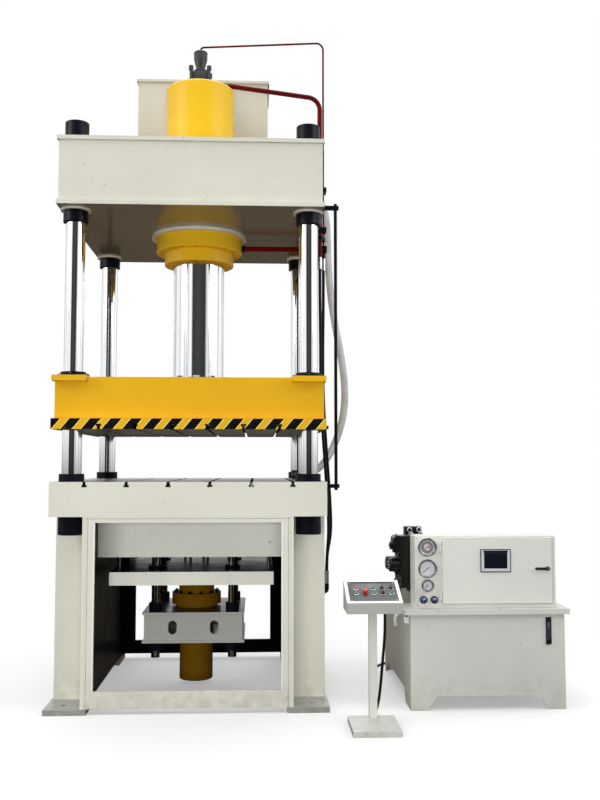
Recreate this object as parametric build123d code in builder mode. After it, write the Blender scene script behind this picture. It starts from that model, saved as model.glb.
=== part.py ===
"""Four-column hydraulic press with ejector, control console and power unit.

Millimetres. The origin is on the floor at the centre of the press base, X to the right,
Y to the back and Z up. The slide is modelled 380 mm above the bed.
"""

from math import pi, radians, tan
import os

from build123d import *

os.makedirs("parts", exist_ok=True)

# Clearances
fit = 0.3                        # between a moving piece and what guides it
thread_gap = 0.2                 # between a nut's bore and its thread, both drawn plain

# Columns
column_pitch_x = 1744
column_pitch_y = 1620
column_diameter = 145
column_chamfer = 8

# Stand under the bed
stand_height = 1390              # floor to the underside of the bed
foot_thickness = 40
foot_inner_x = 712
foot_outer_x = 1015
foot_overhang = 15               # foot plate beyond the portal's face
foot_depth = 351
anchor_pitch_x = 1780
anchor_inset_y = 131             # anchor hole behind the foot plate's edge
anchor_hole_diameter = 33
portal_width = 1464
frame_depth = 1952               # front face to rear face of stand and bed
portal_plate = 22
portal_opening_width = 1336
portal_opening_top = 1347
portal_rail_top = 160
rear_opening_width = 1232
side_wall_thickness = 25
leg_outer_x = 1001
leg_setback = 286                # leg box behind the portal's face
leg_plate = 18
beam_depth = 910
beam_plate = 30
beam_bottom = 1052

# Bed
bed_width = 2000
bed_height = 250
bed_table_thickness = 95
bed_pocket_size = 460
bed_pocket_pitch = 500
bed_slot_pitch = 300
slot_count = 6
slot_neck = 22
slot_head = 38
slot_head_height = 16
slot_depth = 38

# Lock nuts
top_nut_diameter = 179
top_nut_height = 150
lock_nut_diameter = 185
crosshead_nut_height = 88
bed_collar_height = 57
bed_nut_height = 138
spanner_hole_diameter = 13
spanner_hole_depth = 12
nut_chamfer = 8
column_top_rise = 6              # column end above the top nut

# Crosshead
bed_to_crosshead = 2030
crosshead_width = 1972
crosshead_depth = 1973
crosshead_height = 514
crosshead_top_plate = 30
crosshead_bottom_plate = 35
crosshead_web_inset = 14
crosshead_web = 40
crosshead_rib = 30
column_tube_diameter = 192
column_boss_diameter = 226
column_boss_drop = 14            # machined ring under the crosshead, at each column
rib_offset = 120                 # column axis to the rib beside it

# Main cylinder
cylinder_diameter = 570
cylinder_top = 4932
cylinder_cap = 90
cylinder_edge = 22
cylinder_bore = 480
seat_ring_diameter = 790
seat_ring_height = 26
flange_diameter = 710
flange_height = 124
gland_diameter = 574
gland_height = 102
gland_bolt_circle = 500
flange_bolt_circle = 642
flange_bolt_count = 16
bolt_head_diameter = 30
bolt_head_height = 14

# Ram
ram_diameter = 422
piston_height = 120
piston_bottom = 3845
ram_foot_diameter = 620
ram_foot_height = 60
ram_foot_bolt_circle = 530
ram_foot_bolt_count = 12

# Slide
daylight = 380                   # bed to slide, as photographed
slide_plate_width = 1990
slide_plate_depth = 1970
slide_plate_thickness = 78
slide_width = 1966
slide_depth = 1830
slide_web_height = 307
slide_web = 40
slide_rib = 30
slide_top_plate = 36
pad_width = 250
pad_depth = 300
pad_thickness = 43
pad_rise = 8                     # pad above the top plate
slide_slot_pitch = 261
bush_wall = 20
bush_recess = 6
wiper_diameter = 206
wiper_height = 34
wiper_lug_width = 34
wiper_lug_reach = 118
trip_reach = 36
trip_height = 26
trip_width = 40

# Top tank and fill valve
tank_top_z = 5192
top_tank_width = 1152
top_tank_front = 400
top_tank_depth = 540
top_tank_wall = 6
top_lid_overhang = 14
top_lid_height = 24
suction_diameter = 168
suction_wall = 8
suction_z = 4620
suction_flange_diameter = 260
suction_flange = 22
valve_base = 200
valve_base_height = 70
valve_drum_diameter = 84
valve_flange_diameter = 124
valve_flange_height = 26
valve_flange_top = 5106
valve_neck_diameter = 78
valve_neck_z = 5134
valve_diameter = 116
valve_shoulder_z = 5209          # lower edge of the widest part
valve_rim_z = 5256
valve_dome_rise = 28
valve_bolt_pitch = 152
valve_bolt_diameter = 25
valve_nut_diameter = 40
valve_bolt_top = 5127
valve_nut_height = 40

# Oil pipes
pilot_pipe_diameter = 16
pilot_pipe_x = 1052
pilot_pipe_y = 90
pilot_start_z = 5317
pilot_start_bend = 28
pilot_end_z = 5421
pilot_bend = 56
pressure_pipe_diameter = 40
pressure_pipe_x = 1018
pressure_pipe_y = 30
pressure_port_x = 205
pressure_start_z = 5002
pressure_start_bend = 42
pressure_end_z = 4898
pressure_bend = 110
rod_pipe_diameter = 42
rod_pipe_z = 3598
pipe_bottom_z = 3520
union_length = 42
union_wall = 7
tee_block = 56
upper_clamp_z = 4080
lower_clamp_z = 3738
pipe_union_z = 3684
clamp_height = 36
clamp_wall = 14

# Black hoses
hose_diameter = 26
ferrule_diameter = 36
ferrule_length = 104
ferrule_overlap = 34             # hose inside each ferrule
hose_port_x = 1072
return_port_x = 1075
hose_port_pitch = 72
elbow_bend = 24
hose_port_z = 716
hose_port_rise = 66

# Drain hose
drain_diameter = 66
drain_y = 640
drain_port_z = 4262
drain_port_length = 60
drain_end_x = 812
nozzle_diameter = 74
nozzle_right_x = 870
nozzle_length = 69
hose_play = 1                    # round a hose inside its ferrule or nozzle

# Switch rod
switch_rod_diameter = 25
switch_rod_x = 1088
switch_rod_setback = 276         # behind the bed's front
switch_rod_bottom = 1572
switch_rod_top = 3772
rod_bracket_height = 30
rod_bracket_width = 34
rod_bracket_top_z = 3740
rod_bracket_bottom_z = 1603

# Ejector
tie_rod_pitch = 600
tie_rod_diameter = 68
tie_spigot_diameter = 48
tie_spigot_length = 90
tie_boss_diameter = 150
tie_rod_bottom = 262
tie_nut_diameter = 106
tie_nut_height = 66
box_size = 764
box_flange_size = 790
box_bottom = 384
box_height = 236
box_plate = 20
hand_hole_width = 66
hand_hole_height = 104
hand_hole_pitch = 323
ejector_cylinder_diameter = 268
ejector_cylinder_bottom = 34
ejector_cap = 60
ejector_flange_diameter = 396
ejector_flange_bottom = 639
ejector_flange_height = 90
ejector_neck_diameter = 286
ejector_bore = 200
ejector_rod_diameter = 140
ejector_piston_height = 70
ejector_stroke = 90
ejector_plate_size = 1240
ejector_plate_thickness = 100
ejector_plate_bottom = 857
ejector_bush_diameter = 120
ejector_bush_rise = 18
pin_diameter = 24
pin_pitch_inner = 144
pin_pitch_outer = 1176
pin_pitch_y = 600

# Console
console_x = 1279
console_front = -1500
console_width = 376
console_depth = 270
console_bottom = 773
console_front_height = 73
console_back_height = 190
panel_margin = 24
panel_inset = 3
post_x = 1290
post_y = -1262
post_size = 55
post_wall = 4
console_base_width = 322
console_base_depth = 390
console_base_back = -1220
console_base_thickness = 38
lamp_diameter = 24
lamp_height = 14
bezel_diameter = 34
bezel_height = 5
button_diameter = 24
button_height = 12
button_stem_diameter = 12
button_stem_depth = 28
button_travel = 5
mushroom_diameter = 42
mushroom_height = 26
selector_diameter = 30
selector_height = 12
selector_grip_width = 9
selector_grip_length = 27
selector_grip_height = 14
control_pitch = 60
control_offset = 6
control_rows_apart = 62
control_layout = (               # from the left, the panel's front row first
    "green_button_1", "stop_button", "green_button_2", "selector_1", "green_button_3",
    "lamp", "green_button_4", "green_button_5", "selector_2", "selector_3")
gland_length = 24
cable_diameter = 20
cable_gland_diameter = 34
cable_exit_x = 1378
cable_exit_y = -1250
cable_inlet_x = 1786
cable_inlet_y = -696
cable_inlet_z = 830

# Power unit
unit_left = 1600
unit_front = -975
unit_width = 1130
unit_depth = 1330
unit_height = 683
unit_wall = 8
unit_floor_z = 100
foot_length_front = 125
foot_slant = 65
side_foot_front = 240
side_foot_rear = 60
unit_lid_overhang = 30
unit_lid_left_overhang = 45
unit_lid_height = 38
unit_lid_sheet = 8
lug_reach = 30
lug_height = 70
lug_thickness = 14
lug_places_y = (-905, -415)

# Cabinet on the power unit
cabinet_left = 1645
cabinet_width = 1035
cabinet_front = -940
cabinet_depth = 220
cabinet_height = 520
cabinet_sheet = 4
door_left_inset = 196
door_right_inset = 30
door_bottom_inset = 34
door_top_inset = 24
door_thickness = 18
door_edge = 3
door_gap = 3
door_frame = 30                  # cabinet front behind the door's rim
hinge_diameter = 16
hinge_pin_diameter = 8
hinge_length = 66                # three equal knuckles, the middle one on the door
hinge_leaf = 6
hinge_inset = 54
screen_left = 2126
screen_bottom = 988
screen_width = 212
screen_height = 155
screen_thickness = 8
screen_corner = 5
screen_bezel = 20
screen_recess = 2
latch_pivot_x = 2616
latch_z = 1006
latch_length = 105
latch_height = 20
latch_thickness = 10
large_gauge_diameter = 132
small_gauge_diameter = 86
gauge_depth = 40
gauge_rim = 8
gauge_dial_recess = 12
gauge_x = 1729
gauge_upper_z = 1165
gauge_lower_z = 1011
gauge_small_z = 890
needle_thickness = 1.5
needle_hub_diameter = 12
needle_standoff = 2
needle_angles = {"upper": 130, "middle": 130, "lower": 135}
knob_diameter = 54
knob_length = 34
knob_left_x = 1696
knob_right_x = 1774
knob_z = 788
knob_stem_diameter = 16
knob_stem_length = 20

# Level gauge on the oil tank
level_x = 2606
level_bottom = 465
level_height = 196
level_width = 42
level_thickness = 18
level_corner = 6
level_slot_width = 20
level_slot_length = 130

# Valves, motor and pump on the oil tank's lid
manifold_left = 1582
manifold_width = 150
manifold_front = -690
manifold_depth = 330
manifold_height = 350
manifold_foot = 30
manifold_foot_inset = 10
port_diameter = 28
port_depth = 40
port_pitch = 120
cover_diameter = 104             # pressure valves on the manifold's left side
cover_reach = 85
cover_z = 1000
cover_pitch_y = 160
cover_edge = 18
logic_left = 1524                # pilot valve block on top of the manifold
logic_height = 124
logic_depth = 150
logic_edge = 26
coil_block_left = 1655           # solenoid valve behind it
coil_block_width = 146
coil_block_depth = 120
coil_block_height = 110
coil_diameter = 38
coil_length = 150
coil_pitch = 76
motor_diameter = 330
motor_length = 520
motor_x = 2280
motor_y = -150
motor_axis_height = 215
motor_fin_count = 24
motor_fin_height = 16
motor_fin_width = 9
terminal_box_width = 130
terminal_box_depth = 70
terminal_box_height = 120
bell_diameter = 260
bell_length = 130
pump_diameter = 170
pump_length = 150

# Heights that follow from the sizes above
foot_outer_y = frame_depth / 2 + foot_overhang
anchor_pitch_y = 2 * (foot_outer_y - anchor_inset_y)
leg_web_y = frame_depth / 2 - leg_setback
switch_rod_y = switch_rod_setback - frame_depth / 2
bed_top = stand_height + bed_height
crosshead_bottom = bed_top + bed_to_crosshead
crosshead_top = crosshead_bottom + crosshead_height
seat_ring_bottom = crosshead_bottom - seat_ring_height
flange_bottom = seat_ring_bottom - flange_height
gland_bottom = flange_bottom - gland_height
slide_bottom = bed_top + daylight
slide_web_bottom = slide_bottom + slide_plate_thickness
slide_top = slide_web_bottom + slide_web_height
pad_top = slide_top + pad_rise
box_top = box_bottom + box_height
ejector_plate_top = ejector_plate_bottom + ejector_plate_thickness
unit_lid_top = unit_height + unit_lid_height
unit_right = unit_left + unit_width
unit_rear = unit_front + unit_depth
cabinet_top = unit_lid_top + cabinet_height
column_places = GridLocations(column_pitch_x, column_pitch_y, 2, 2)
tie_places = GridLocations(tie_rod_pitch, tie_rod_pitch, 2, 2)


def on_grid(pitch_x, pitch_y, z):
    """The four corners of a grid round the press axis, at height z."""
    return [(side_x * pitch_x / 2, side_y * pitch_y / 2, z) for side_x in (-1, 1) for side_y in (-1, 1)]


def write(piece, name):
    """Label a finished piece and write it to its own file."""
    piece.label = name
    export_step(piece, f"parts/{name}.step")


def bottom_plane(z):
    """Horizontal plane at height z."""
    return Plane.XY.offset(z)


def front_plane(y):
    """Vertical plane at depth y that looks to the front, X to the right and Z up."""
    return Plane(origin=(0, y, 0), x_dir=(1, 0, 0), z_dir=(0, -1, 0))


def corner_radii(points):
    """The arc at each corner of a cord: 0.45 of the shorter run, over half the turn's tangent."""
    radii = []
    for before, here, after in zip(points, points[1:], points[2:]):
        run_in = Vector(*here) - Vector(*before)
        run_out = Vector(*after) - Vector(*here)
        half_turn = radians(run_in.get_angle(run_out)) / 2
        radii.append(0.45 * min(run_in.length, run_out.length) / tan(half_turn))
    return radii


def cord_tube(name, points, diameter):
    """A free hose or cable: straight runs joined by arcs as large as the runs allow."""
    radii = corner_radii(points)
    with BuildPart() as tube:
        with BuildLine() as route:
            FilletPolyline(*points, radius=radii)
        with BuildSketch(Plane(origin=route.line @ 0, z_dir=route.line % 0)):
            Circle(diameter / 2)
        sweep(path=route.line)
    length = sum(edge.length for edge in route.edges())
    section = pi * diameter**2 / 4
    print(f"{name}: length {length:.0f}, volume over section {tube.part.volume / section:.0f},"
          f" radii {', '.join(f'{radius:.0f}' for radius in radii)}")
    write(tube.part, name)


def pipe(points, diameter, bend):
    """A rigid pipe with one bend radius."""
    with BuildPart() as bent:
        with BuildLine() as route:
            FilletPolyline(*points, radius=bend)
        with BuildSketch(Plane(origin=route.line @ 0, z_dir=route.line % 0)):
            Circle(diameter / 2)
        sweep(path=route.line)
    return bent.part


def slot_profile(x, face_z, down):
    """T-slot section at x, open at face_z and cut towards +Z or, with down, towards -Z."""
    side = -1 if down else 1
    neck_height = slot_depth - slot_head_height
    with Locations((x, face_z + side * neck_height / 2)):
        Rectangle(slot_neck, neck_height)
    with Locations((x, face_z + side * (neck_height + slot_head_height / 2))):
        Rectangle(slot_head, slot_head_height)


# Foot plates
with BuildPart() as foot_plates:
    foot_width = foot_outer_x - foot_inner_x
    with GridLocations(foot_inner_x + foot_outer_x, 2 * foot_outer_y - foot_depth, 2, 2):
        Box(foot_width, foot_depth, foot_thickness, align=(Align.CENTER, Align.CENTER, Align.MIN))
    with Locations((0, 0, foot_thickness)):
        with GridLocations(anchor_pitch_x, anchor_pitch_y, 2, 2):
            Hole(anchor_hole_diameter / 2, foot_thickness)
write(foot_plates.part, "foot_plates")

# Front and rear portal plates
with BuildPart() as portals:
    plate_middle = (stand_height + foot_thickness) / 2
    opening_height = portal_opening_top - portal_rail_top
    opening_middle = (portal_opening_top + portal_rail_top) / 2
    with BuildSketch(front_plane(-frame_depth / 2)):
        with Locations((0, plate_middle)):
            Rectangle(portal_width, stand_height - foot_thickness)
        with Locations((0, opening_middle)):
            Rectangle(portal_opening_width, opening_height, mode=Mode.SUBTRACT)
    extrude(amount=-portal_plate)
    with BuildSketch(front_plane(frame_depth / 2)):
        with Locations((0, plate_middle)):
            Rectangle(portal_width, stand_height - foot_thickness)
        with Locations((0, opening_middle)):
            Rectangle(rear_opening_width, opening_height, mode=Mode.SUBTRACT)
    extrude(amount=portal_plate)
write(portals.part, "portals")

# Side walls
with BuildPart() as side_walls:
    with BuildSketch(bottom_plane(foot_thickness)):
        with GridLocations(portal_width + side_wall_thickness, 0, 2, 1):
            Rectangle(side_wall_thickness, frame_depth)
    extrude(amount=stand_height - foot_thickness)
write(side_walls.part, "side_walls")

# Leg boxes outside the side walls, set back at the corners for the column nuts
with BuildPart() as leg_boxes:
    wall_outer_x = portal_width / 2 + side_wall_thickness
    leg_width = leg_outer_x - wall_outer_x
    with BuildSketch(bottom_plane(foot_thickness)):
        with GridLocations(wall_outer_x + leg_outer_x, 0, 2, 1):
            Rectangle(leg_width, 2 * leg_web_y)
        inner_reach = 2 * (leg_outer_x - leg_plate)
        Rectangle(inner_reach, 2 * (leg_web_y - leg_plate), mode=Mode.SUBTRACT)
    extrude(amount=stand_height - foot_thickness)
write(leg_boxes.part, "leg_boxes")

# Beam ring under the bed
with BuildPart() as bed_beam:
    with BuildSketch(bottom_plane(beam_bottom)):
        Rectangle(portal_width, beam_depth)
        Rectangle(portal_width - 2 * beam_plate, beam_depth - 2 * beam_plate, mode=Mode.SUBTRACT)
    extrude(amount=stand_height - beam_bottom)
write(bed_beam.part, "bed_beam")

# Bed: a ribbed table with T-slots, column holes and ejector pin holes
pin_places = [
    (side_x * pitch / 2, side_y * pin_pitch_y / 2)
    for pitch in (pin_pitch_inner, pin_pitch_outer)
    for side_x in (-1, 1)
    for side_y in (-1, 1)
]
with BuildPart() as bed:
    with BuildSketch(bottom_plane(stand_height)):
        Rectangle(bed_width, frame_depth)
    extrude(amount=bed_height)
    with BuildSketch(bottom_plane(stand_height)):
        with GridLocations(bed_pocket_pitch, bed_pocket_pitch, 3, 3):
            Rectangle(bed_pocket_size, bed_pocket_size)
        with tie_places:
            Circle(tie_boss_diameter / 2, mode=Mode.SUBTRACT)
    extrude(amount=bed_height - bed_table_thickness, mode=Mode.SUBTRACT)
    with BuildSketch(front_plane(-frame_depth / 2)):
        for index in range(slot_count):
            slot_profile((index - (slot_count - 1) / 2) * bed_slot_pitch, bed_top, True)
    extrude(amount=-frame_depth, mode=Mode.SUBTRACT)
    with BuildSketch(bottom_plane(stand_height)):
        with column_places:
            Circle(column_diameter / 2 + thread_gap)
        with Locations(*pin_places):
            Circle(pin_diameter / 2 + fit)
    extrude(amount=bed_height, mode=Mode.SUBTRACT)
    with BuildSketch(bottom_plane(stand_height)):
        with tie_places:
            Circle(tie_spigot_diameter / 2 + thread_gap)
    extrude(amount=tie_spigot_length + 1, mode=Mode.SUBTRACT)
write(bed.part, "bed")

# Columns
column_bottom = stand_height - bed_nut_height
column_top = crosshead_top + top_nut_height + column_top_rise
with BuildPart() as columns:
    with BuildSketch(bottom_plane(column_bottom)):
        with column_places:
            Circle(column_diameter / 2)
    extrude(amount=column_top - column_bottom)
    chamfer(columns.edges().filter_by(GeomType.CIRCLE), column_chamfer)
write(columns.part, "columns")


def ring_nut(diameter, bore, height, hole_rows):
    """Round nut with rows of radial spanner holes, standing on Z = 0."""
    with BuildPart() as nut:
        Cylinder(diameter / 2, height, align=(Align.CENTER, Align.CENTER, Align.MIN))
        chamfer(nut.edges().filter_by(GeomType.CIRCLE), nut_chamfer / 2)
        Cylinder(bore / 2, height, align=(Align.CENTER, Align.CENTER, Align.MIN), mode=Mode.SUBTRACT)
        for row_height in hole_rows:
            with Locations((0, 0, row_height)):
                with PolarLocations(diameter / 2, 4, start_angle=45):
                    Cylinder(spanner_hole_diameter / 2, 2 * spanner_hole_depth,
                             rotation=(0, 90, 0), mode=Mode.SUBTRACT)
    return nut.part


nut_bore = column_diameter + 2 * thread_gap
top_nut = ring_nut(top_nut_diameter, nut_bore, top_nut_height,
                   (0.3 * top_nut_height, 0.82 * top_nut_height))
crosshead_nut = ring_nut(lock_nut_diameter, nut_bore, crosshead_nut_height, (0.5 * crosshead_nut_height,))
bed_collar = ring_nut(lock_nut_diameter, nut_bore, bed_collar_height, (0.5 * bed_collar_height,))
bed_nut = ring_nut(lock_nut_diameter, nut_bore, bed_nut_height, (0.35 * bed_nut_height,))
tie_nut = ring_nut(tie_nut_diameter, tie_rod_diameter + 2 * thread_gap, tie_nut_height, ())

# Lock nuts of the columns and of the ejector's tie rods
boss_bottom = crosshead_bottom - column_boss_drop
with BuildPart() as lock_nuts:
    for nut, nut_z in ((top_nut, crosshead_top), (crosshead_nut, boss_bottom - crosshead_nut_height),
                       (bed_collar, bed_top), (bed_nut, stand_height - bed_nut_height)):
        with Locations(*on_grid(column_pitch_x, column_pitch_y, nut_z)):
            add(nut)
    for nut_z in (box_top, box_bottom - tie_nut_height):
        with Locations(*on_grid(tie_rod_pitch, tie_rod_pitch, nut_z)):
            add(tie_nut)
write(lock_nuts.part, "lock_nuts")

# Crosshead: a closed weldment of two plates, webs, ribs and tubes
with BuildPart() as crosshead:
    with BuildSketch(bottom_plane(crosshead_bottom)):
        Rectangle(crosshead_width, crosshead_depth)
    extrude(amount=crosshead_bottom_plate)
    web_width = crosshead_width - 2 * crosshead_web_inset
    web_depth = crosshead_depth - 2 * crosshead_web_inset
    with BuildSketch(bottom_plane(crosshead_bottom + crosshead_bottom_plate)):
        Rectangle(web_width, web_depth)
        Rectangle(web_width - 2 * crosshead_web, web_depth - 2 * crosshead_web, mode=Mode.SUBTRACT)
        with GridLocations(column_pitch_x - 2 * rib_offset, 0, 2, 1):
            Rectangle(crosshead_rib, web_depth - crosshead_web)
        with GridLocations(0, column_pitch_y - 2 * rib_offset, 1, 2):
            Rectangle(web_width - crosshead_web, crosshead_rib)
        Circle(cylinder_diameter / 2 + crosshead_web)
        with column_places:
            Circle(column_tube_diameter / 2)
    extrude(amount=crosshead_height - crosshead_bottom_plate - crosshead_top_plate)
    with BuildSketch(bottom_plane(crosshead_top - crosshead_top_plate)):
        Rectangle(crosshead_width, crosshead_depth)
    extrude(amount=crosshead_top_plate)
    with BuildSketch(bottom_plane(crosshead_bottom)):
        with column_places:
            Circle(column_boss_diameter / 2)
    extrude(amount=-column_boss_drop)
    with BuildSketch(bottom_plane(crosshead_bottom)):
        Circle(seat_ring_diameter / 2)
    extrude(amount=-seat_ring_height)
    with BuildSketch(bottom_plane(seat_ring_bottom)):
        Circle(cylinder_diameter / 2 + thread_gap)
        with column_places:
            Circle(column_diameter / 2 + thread_gap)
    extrude(amount=crosshead_top - seat_ring_bottom, mode=Mode.SUBTRACT)
write(crosshead.part, "crosshead")

# Main cylinder: flange under the crosshead, body through it, closed dome on top
with BuildPart() as main_cylinder:
    with BuildSketch(Plane.XZ):
        with BuildLine():
            Polyline((cylinder_bore / 2, flange_bottom), (flange_diameter / 2, flange_bottom),
                     (flange_diameter / 2, seat_ring_bottom), (cylinder_diameter / 2, seat_ring_bottom),
                     (cylinder_diameter / 2, cylinder_top), (0, cylinder_top),
                     (0, cylinder_top - cylinder_cap), (cylinder_bore / 2, cylinder_top - cylinder_cap),
                     (cylinder_bore / 2, flange_bottom))
        make_face()
    revolve(axis=Axis.Z)
    fillet(main_cylinder.edges().filter_by(GeomType.CIRCLE).group_by(Axis.Z)[-1], cylinder_edge)
    flange_rim = main_cylinder.edges().filter_by(GeomType.CIRCLE).group_by(Axis.Z)[0].sort_by(SortBy.RADIUS)
    chamfer(flange_rim[-1], nut_chamfer)
    with BuildSketch(bottom_plane(flange_bottom)):
        with PolarLocations(flange_bolt_circle / 2, flange_bolt_count):
            Circle(bolt_head_diameter / 2)
    extrude(amount=bolt_head_height, mode=Mode.SUBTRACT)
write(main_cylinder.part, "main_cylinder")

# Gland that guides the ram, with its screws sunk in the underside
with BuildPart() as gland:
    with BuildSketch(bottom_plane(gland_bottom)):
        Circle(gland_diameter / 2)
        Circle(ram_diameter / 2 + fit, mode=Mode.SUBTRACT)
    extrude(amount=gland_height)
    gland_rim = gland.edges().filter_by(GeomType.CIRCLE).group_by(Axis.Z)[0].sort_by(SortBy.RADIUS)[-1]
    fillet(gland_rim, nut_chamfer)
    with BuildSketch(bottom_plane(gland_bottom)):
        with PolarLocations(gland_bolt_circle / 2, flange_bolt_count):
            Circle(bolt_head_diameter / 2)
    extrude(amount=bolt_head_height, mode=Mode.SUBTRACT)
write(gland.part, "gland")

# Ram with its piston and bolted foot
with BuildPart() as ram:
    piston_radius = cylinder_bore / 2 - fit
    piston_top = piston_bottom + piston_height
    with BuildSketch(Plane.XZ):
        with BuildLine():
            Polyline((0, slide_top), (ram_foot_diameter / 2, slide_top),
                     (ram_foot_diameter / 2, slide_top + ram_foot_height),
                     (ram_diameter / 2, slide_top + ram_foot_height), (ram_diameter / 2, piston_bottom),
                     (piston_radius, piston_bottom), (piston_radius, piston_top), (0, piston_top),
                     (0, slide_top))
        make_face()
    revolve(axis=Axis.Z)
    with BuildSketch(bottom_plane(slide_top + ram_foot_height)):
        with PolarLocations(ram_foot_bolt_circle / 2, ram_foot_bolt_count):
            RegularPolygon(bolt_head_diameter, 6)
    extrude(amount=bolt_head_height)
write(ram.part, "ram")

# Slide: bottom plate, closed box of webs and ribs, top plate and four corner pads
with BuildPart() as slide:
    with BuildSketch(bottom_plane(slide_bottom)):
        Rectangle(slide_plate_width, slide_plate_depth)
    extrude(amount=slide_plate_thickness)
    bush_diameter = column_diameter + 2 * fit + 2 * bush_wall
    with BuildSketch(bottom_plane(slide_web_bottom)):
        Rectangle(slide_width, slide_depth)
        Rectangle(slide_width - 2 * slide_web, slide_depth - 2 * slide_web, mode=Mode.SUBTRACT)
        with GridLocations(column_pitch_x - 2 * rib_offset, 0, 2, 1):
            Rectangle(slide_rib, slide_depth - slide_web)
        with GridLocations(0, column_pitch_y - 2 * rib_offset, 1, 2):
            Rectangle(slide_width - slide_web, slide_rib)
        Circle(ram_foot_diameter / 2)
        with column_places:
            Circle(bush_diameter / 2 + 2)
    extrude(amount=slide_web_height - slide_top_plate)
    with BuildSketch(bottom_plane(slide_top - slide_top_plate)):
        Rectangle(slide_width, slide_depth)
    extrude(amount=slide_top_plate)
    with BuildSketch(bottom_plane(pad_top)):
        with GridLocations(slide_plate_width - pad_width, slide_plate_depth - pad_depth, 2, 2):
            Rectangle(pad_width, pad_depth)
    extrude(amount=-pad_thickness)
    with BuildSketch(front_plane(-slide_plate_depth / 2)):
        for index in range(slot_count):
            slot_profile((index - (slot_count - 1) / 2) * slide_slot_pitch, slide_bottom, False)
    extrude(amount=-slide_plate_depth, mode=Mode.SUBTRACT)
    with BuildSketch(bottom_plane(slide_bottom)):
        with column_places:
            Circle(bush_diameter / 2)
    extrude(amount=pad_top - slide_bottom, mode=Mode.SUBTRACT)
    with Locations((slide_plate_width / 2 + trip_reach / 2, switch_rod_y, slide_bottom + trip_height)):
        Box(trip_reach, trip_width, trip_height)
write(slide.part, "slide")

# Bronze guide bushes in the slide
with BuildPart() as guide_bushes:
    with BuildSketch(bottom_plane(slide_bottom + bush_recess)):
        with column_places:
            Circle(bush_diameter / 2)
            Circle(column_diameter / 2 + fit, mode=Mode.SUBTRACT)
    extrude(amount=pad_top - slide_bottom - bush_recess)
write(guide_bushes.part, "guide_bushes")

# Wiper rings with bolt lugs on the slide's pads
with BuildPart() as wiper_rings:
    with BuildSketch(bottom_plane(pad_top)):
        with column_places:
            Circle(wiper_diameter / 2)
            SlotOverall(2 * wiper_lug_reach, wiper_lug_width)
            SlotOverall(2 * wiper_lug_reach, wiper_lug_width, rotation=90)
            Circle(column_diameter / 2 + fit, mode=Mode.SUBTRACT)
    extrude(amount=wiper_height / 2)
    with BuildSketch(bottom_plane(pad_top + wiper_height / 2)):
        with column_places:
            Circle(wiper_diameter / 2 - wiper_height / 4)
            Circle(column_diameter / 2 + fit, mode=Mode.SUBTRACT)
    extrude(amount=wiper_height / 2)
write(wiper_rings.part, "wiper_rings")

# Fill valve on the cylinder's top: base plate, drum and flange, waisted body with a dome, and four stud bolts
valve_top = valve_rim_z + valve_dome_rise
with BuildPart() as fill_valve:
    with BuildSketch(bottom_plane(cylinder_top)):
        Rectangle(valve_base, valve_base)
    extrude(amount=valve_base_height)
    chamfer(fill_valve.edges().filter_by(Axis.Z), nut_chamfer)
    with BuildSketch(Plane.XZ):
        with BuildLine():
            Polyline((0, cylinder_top), (valve_drum_diameter / 2, cylinder_top),
                     (valve_drum_diameter / 2, valve_flange_top - valve_flange_height),
                     (valve_flange_diameter / 2, valve_flange_top - valve_flange_height),
                     (valve_flange_diameter / 2, valve_flange_top),
                     (valve_neck_diameter / 2, valve_flange_top), (valve_neck_diameter / 2, valve_neck_z),
                     (valve_diameter / 2, valve_shoulder_z), (valve_diameter / 2, valve_rim_z))
            Spline((valve_diameter / 2, valve_rim_z), (0, valve_top), tangents=((0, 1), (-1, 0)))
            Line((0, valve_top), (0, cylinder_top))
        make_face()
    revolve(axis=Axis.Z)
    with BuildSketch(bottom_plane(cylinder_top)):
        with GridLocations(valve_bolt_pitch, valve_bolt_pitch, 2, 2):
            Circle(valve_bolt_diameter / 2)
    extrude(amount=valve_bolt_top - cylinder_top)
    with BuildSketch(bottom_plane(valve_bolt_top)):
        with GridLocations(valve_bolt_pitch, valve_bolt_pitch, 2, 2):
            Circle(valve_nut_diameter / 2)
    extrude(amount=-valve_nut_height)
    fillet(fill_valve.edges().filter_by(GeomType.CIRCLE).filter_by_position(
        Axis.Z, valve_bolt_top - 1, valve_bolt_top + 1), valve_nut_diameter / 4)
write(fill_valve.part, "fill_valve")

# Top oil tank behind the cylinder, open at the top under its lid, with its suction pipe
tank_middle_y = top_tank_front + top_tank_depth / 2
with BuildPart() as top_tank:
    with Locations((0, tank_middle_y, crosshead_top)):
        Box(top_tank_width, top_tank_depth, tank_top_z - crosshead_top,
            align=(Align.CENTER, Align.CENTER, Align.MIN))
    offset(amount=-top_tank_wall, openings=top_tank.faces().sort_by(Axis.Z)[-1])
    saddle_depth = cylinder_diameter / 2 * 0.9
    with BuildSketch(front_plane(top_tank_front)):
        with Locations((0, suction_z)):
            Circle(suction_diameter / 2)
    extrude(amount=top_tank_front - saddle_depth)
    with BuildSketch(front_plane(top_tank_front)):
        with Locations((0, suction_z)):
            Circle(suction_flange_diameter / 2)
    extrude(amount=suction_flange)
    with BuildSketch(front_plane(top_tank_front + top_tank_wall)):
        with Locations((0, suction_z)):
            Circle(suction_diameter / 2 - suction_wall)
    extrude(amount=top_tank_front + top_tank_wall - saddle_depth, mode=Mode.SUBTRACT)
    with Locations((0, 0, suction_z)):
        Cylinder(cylinder_diameter / 2 + thread_gap, suction_flange_diameter, mode=Mode.SUBTRACT)
write(top_tank.part, "top_tank")

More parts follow.
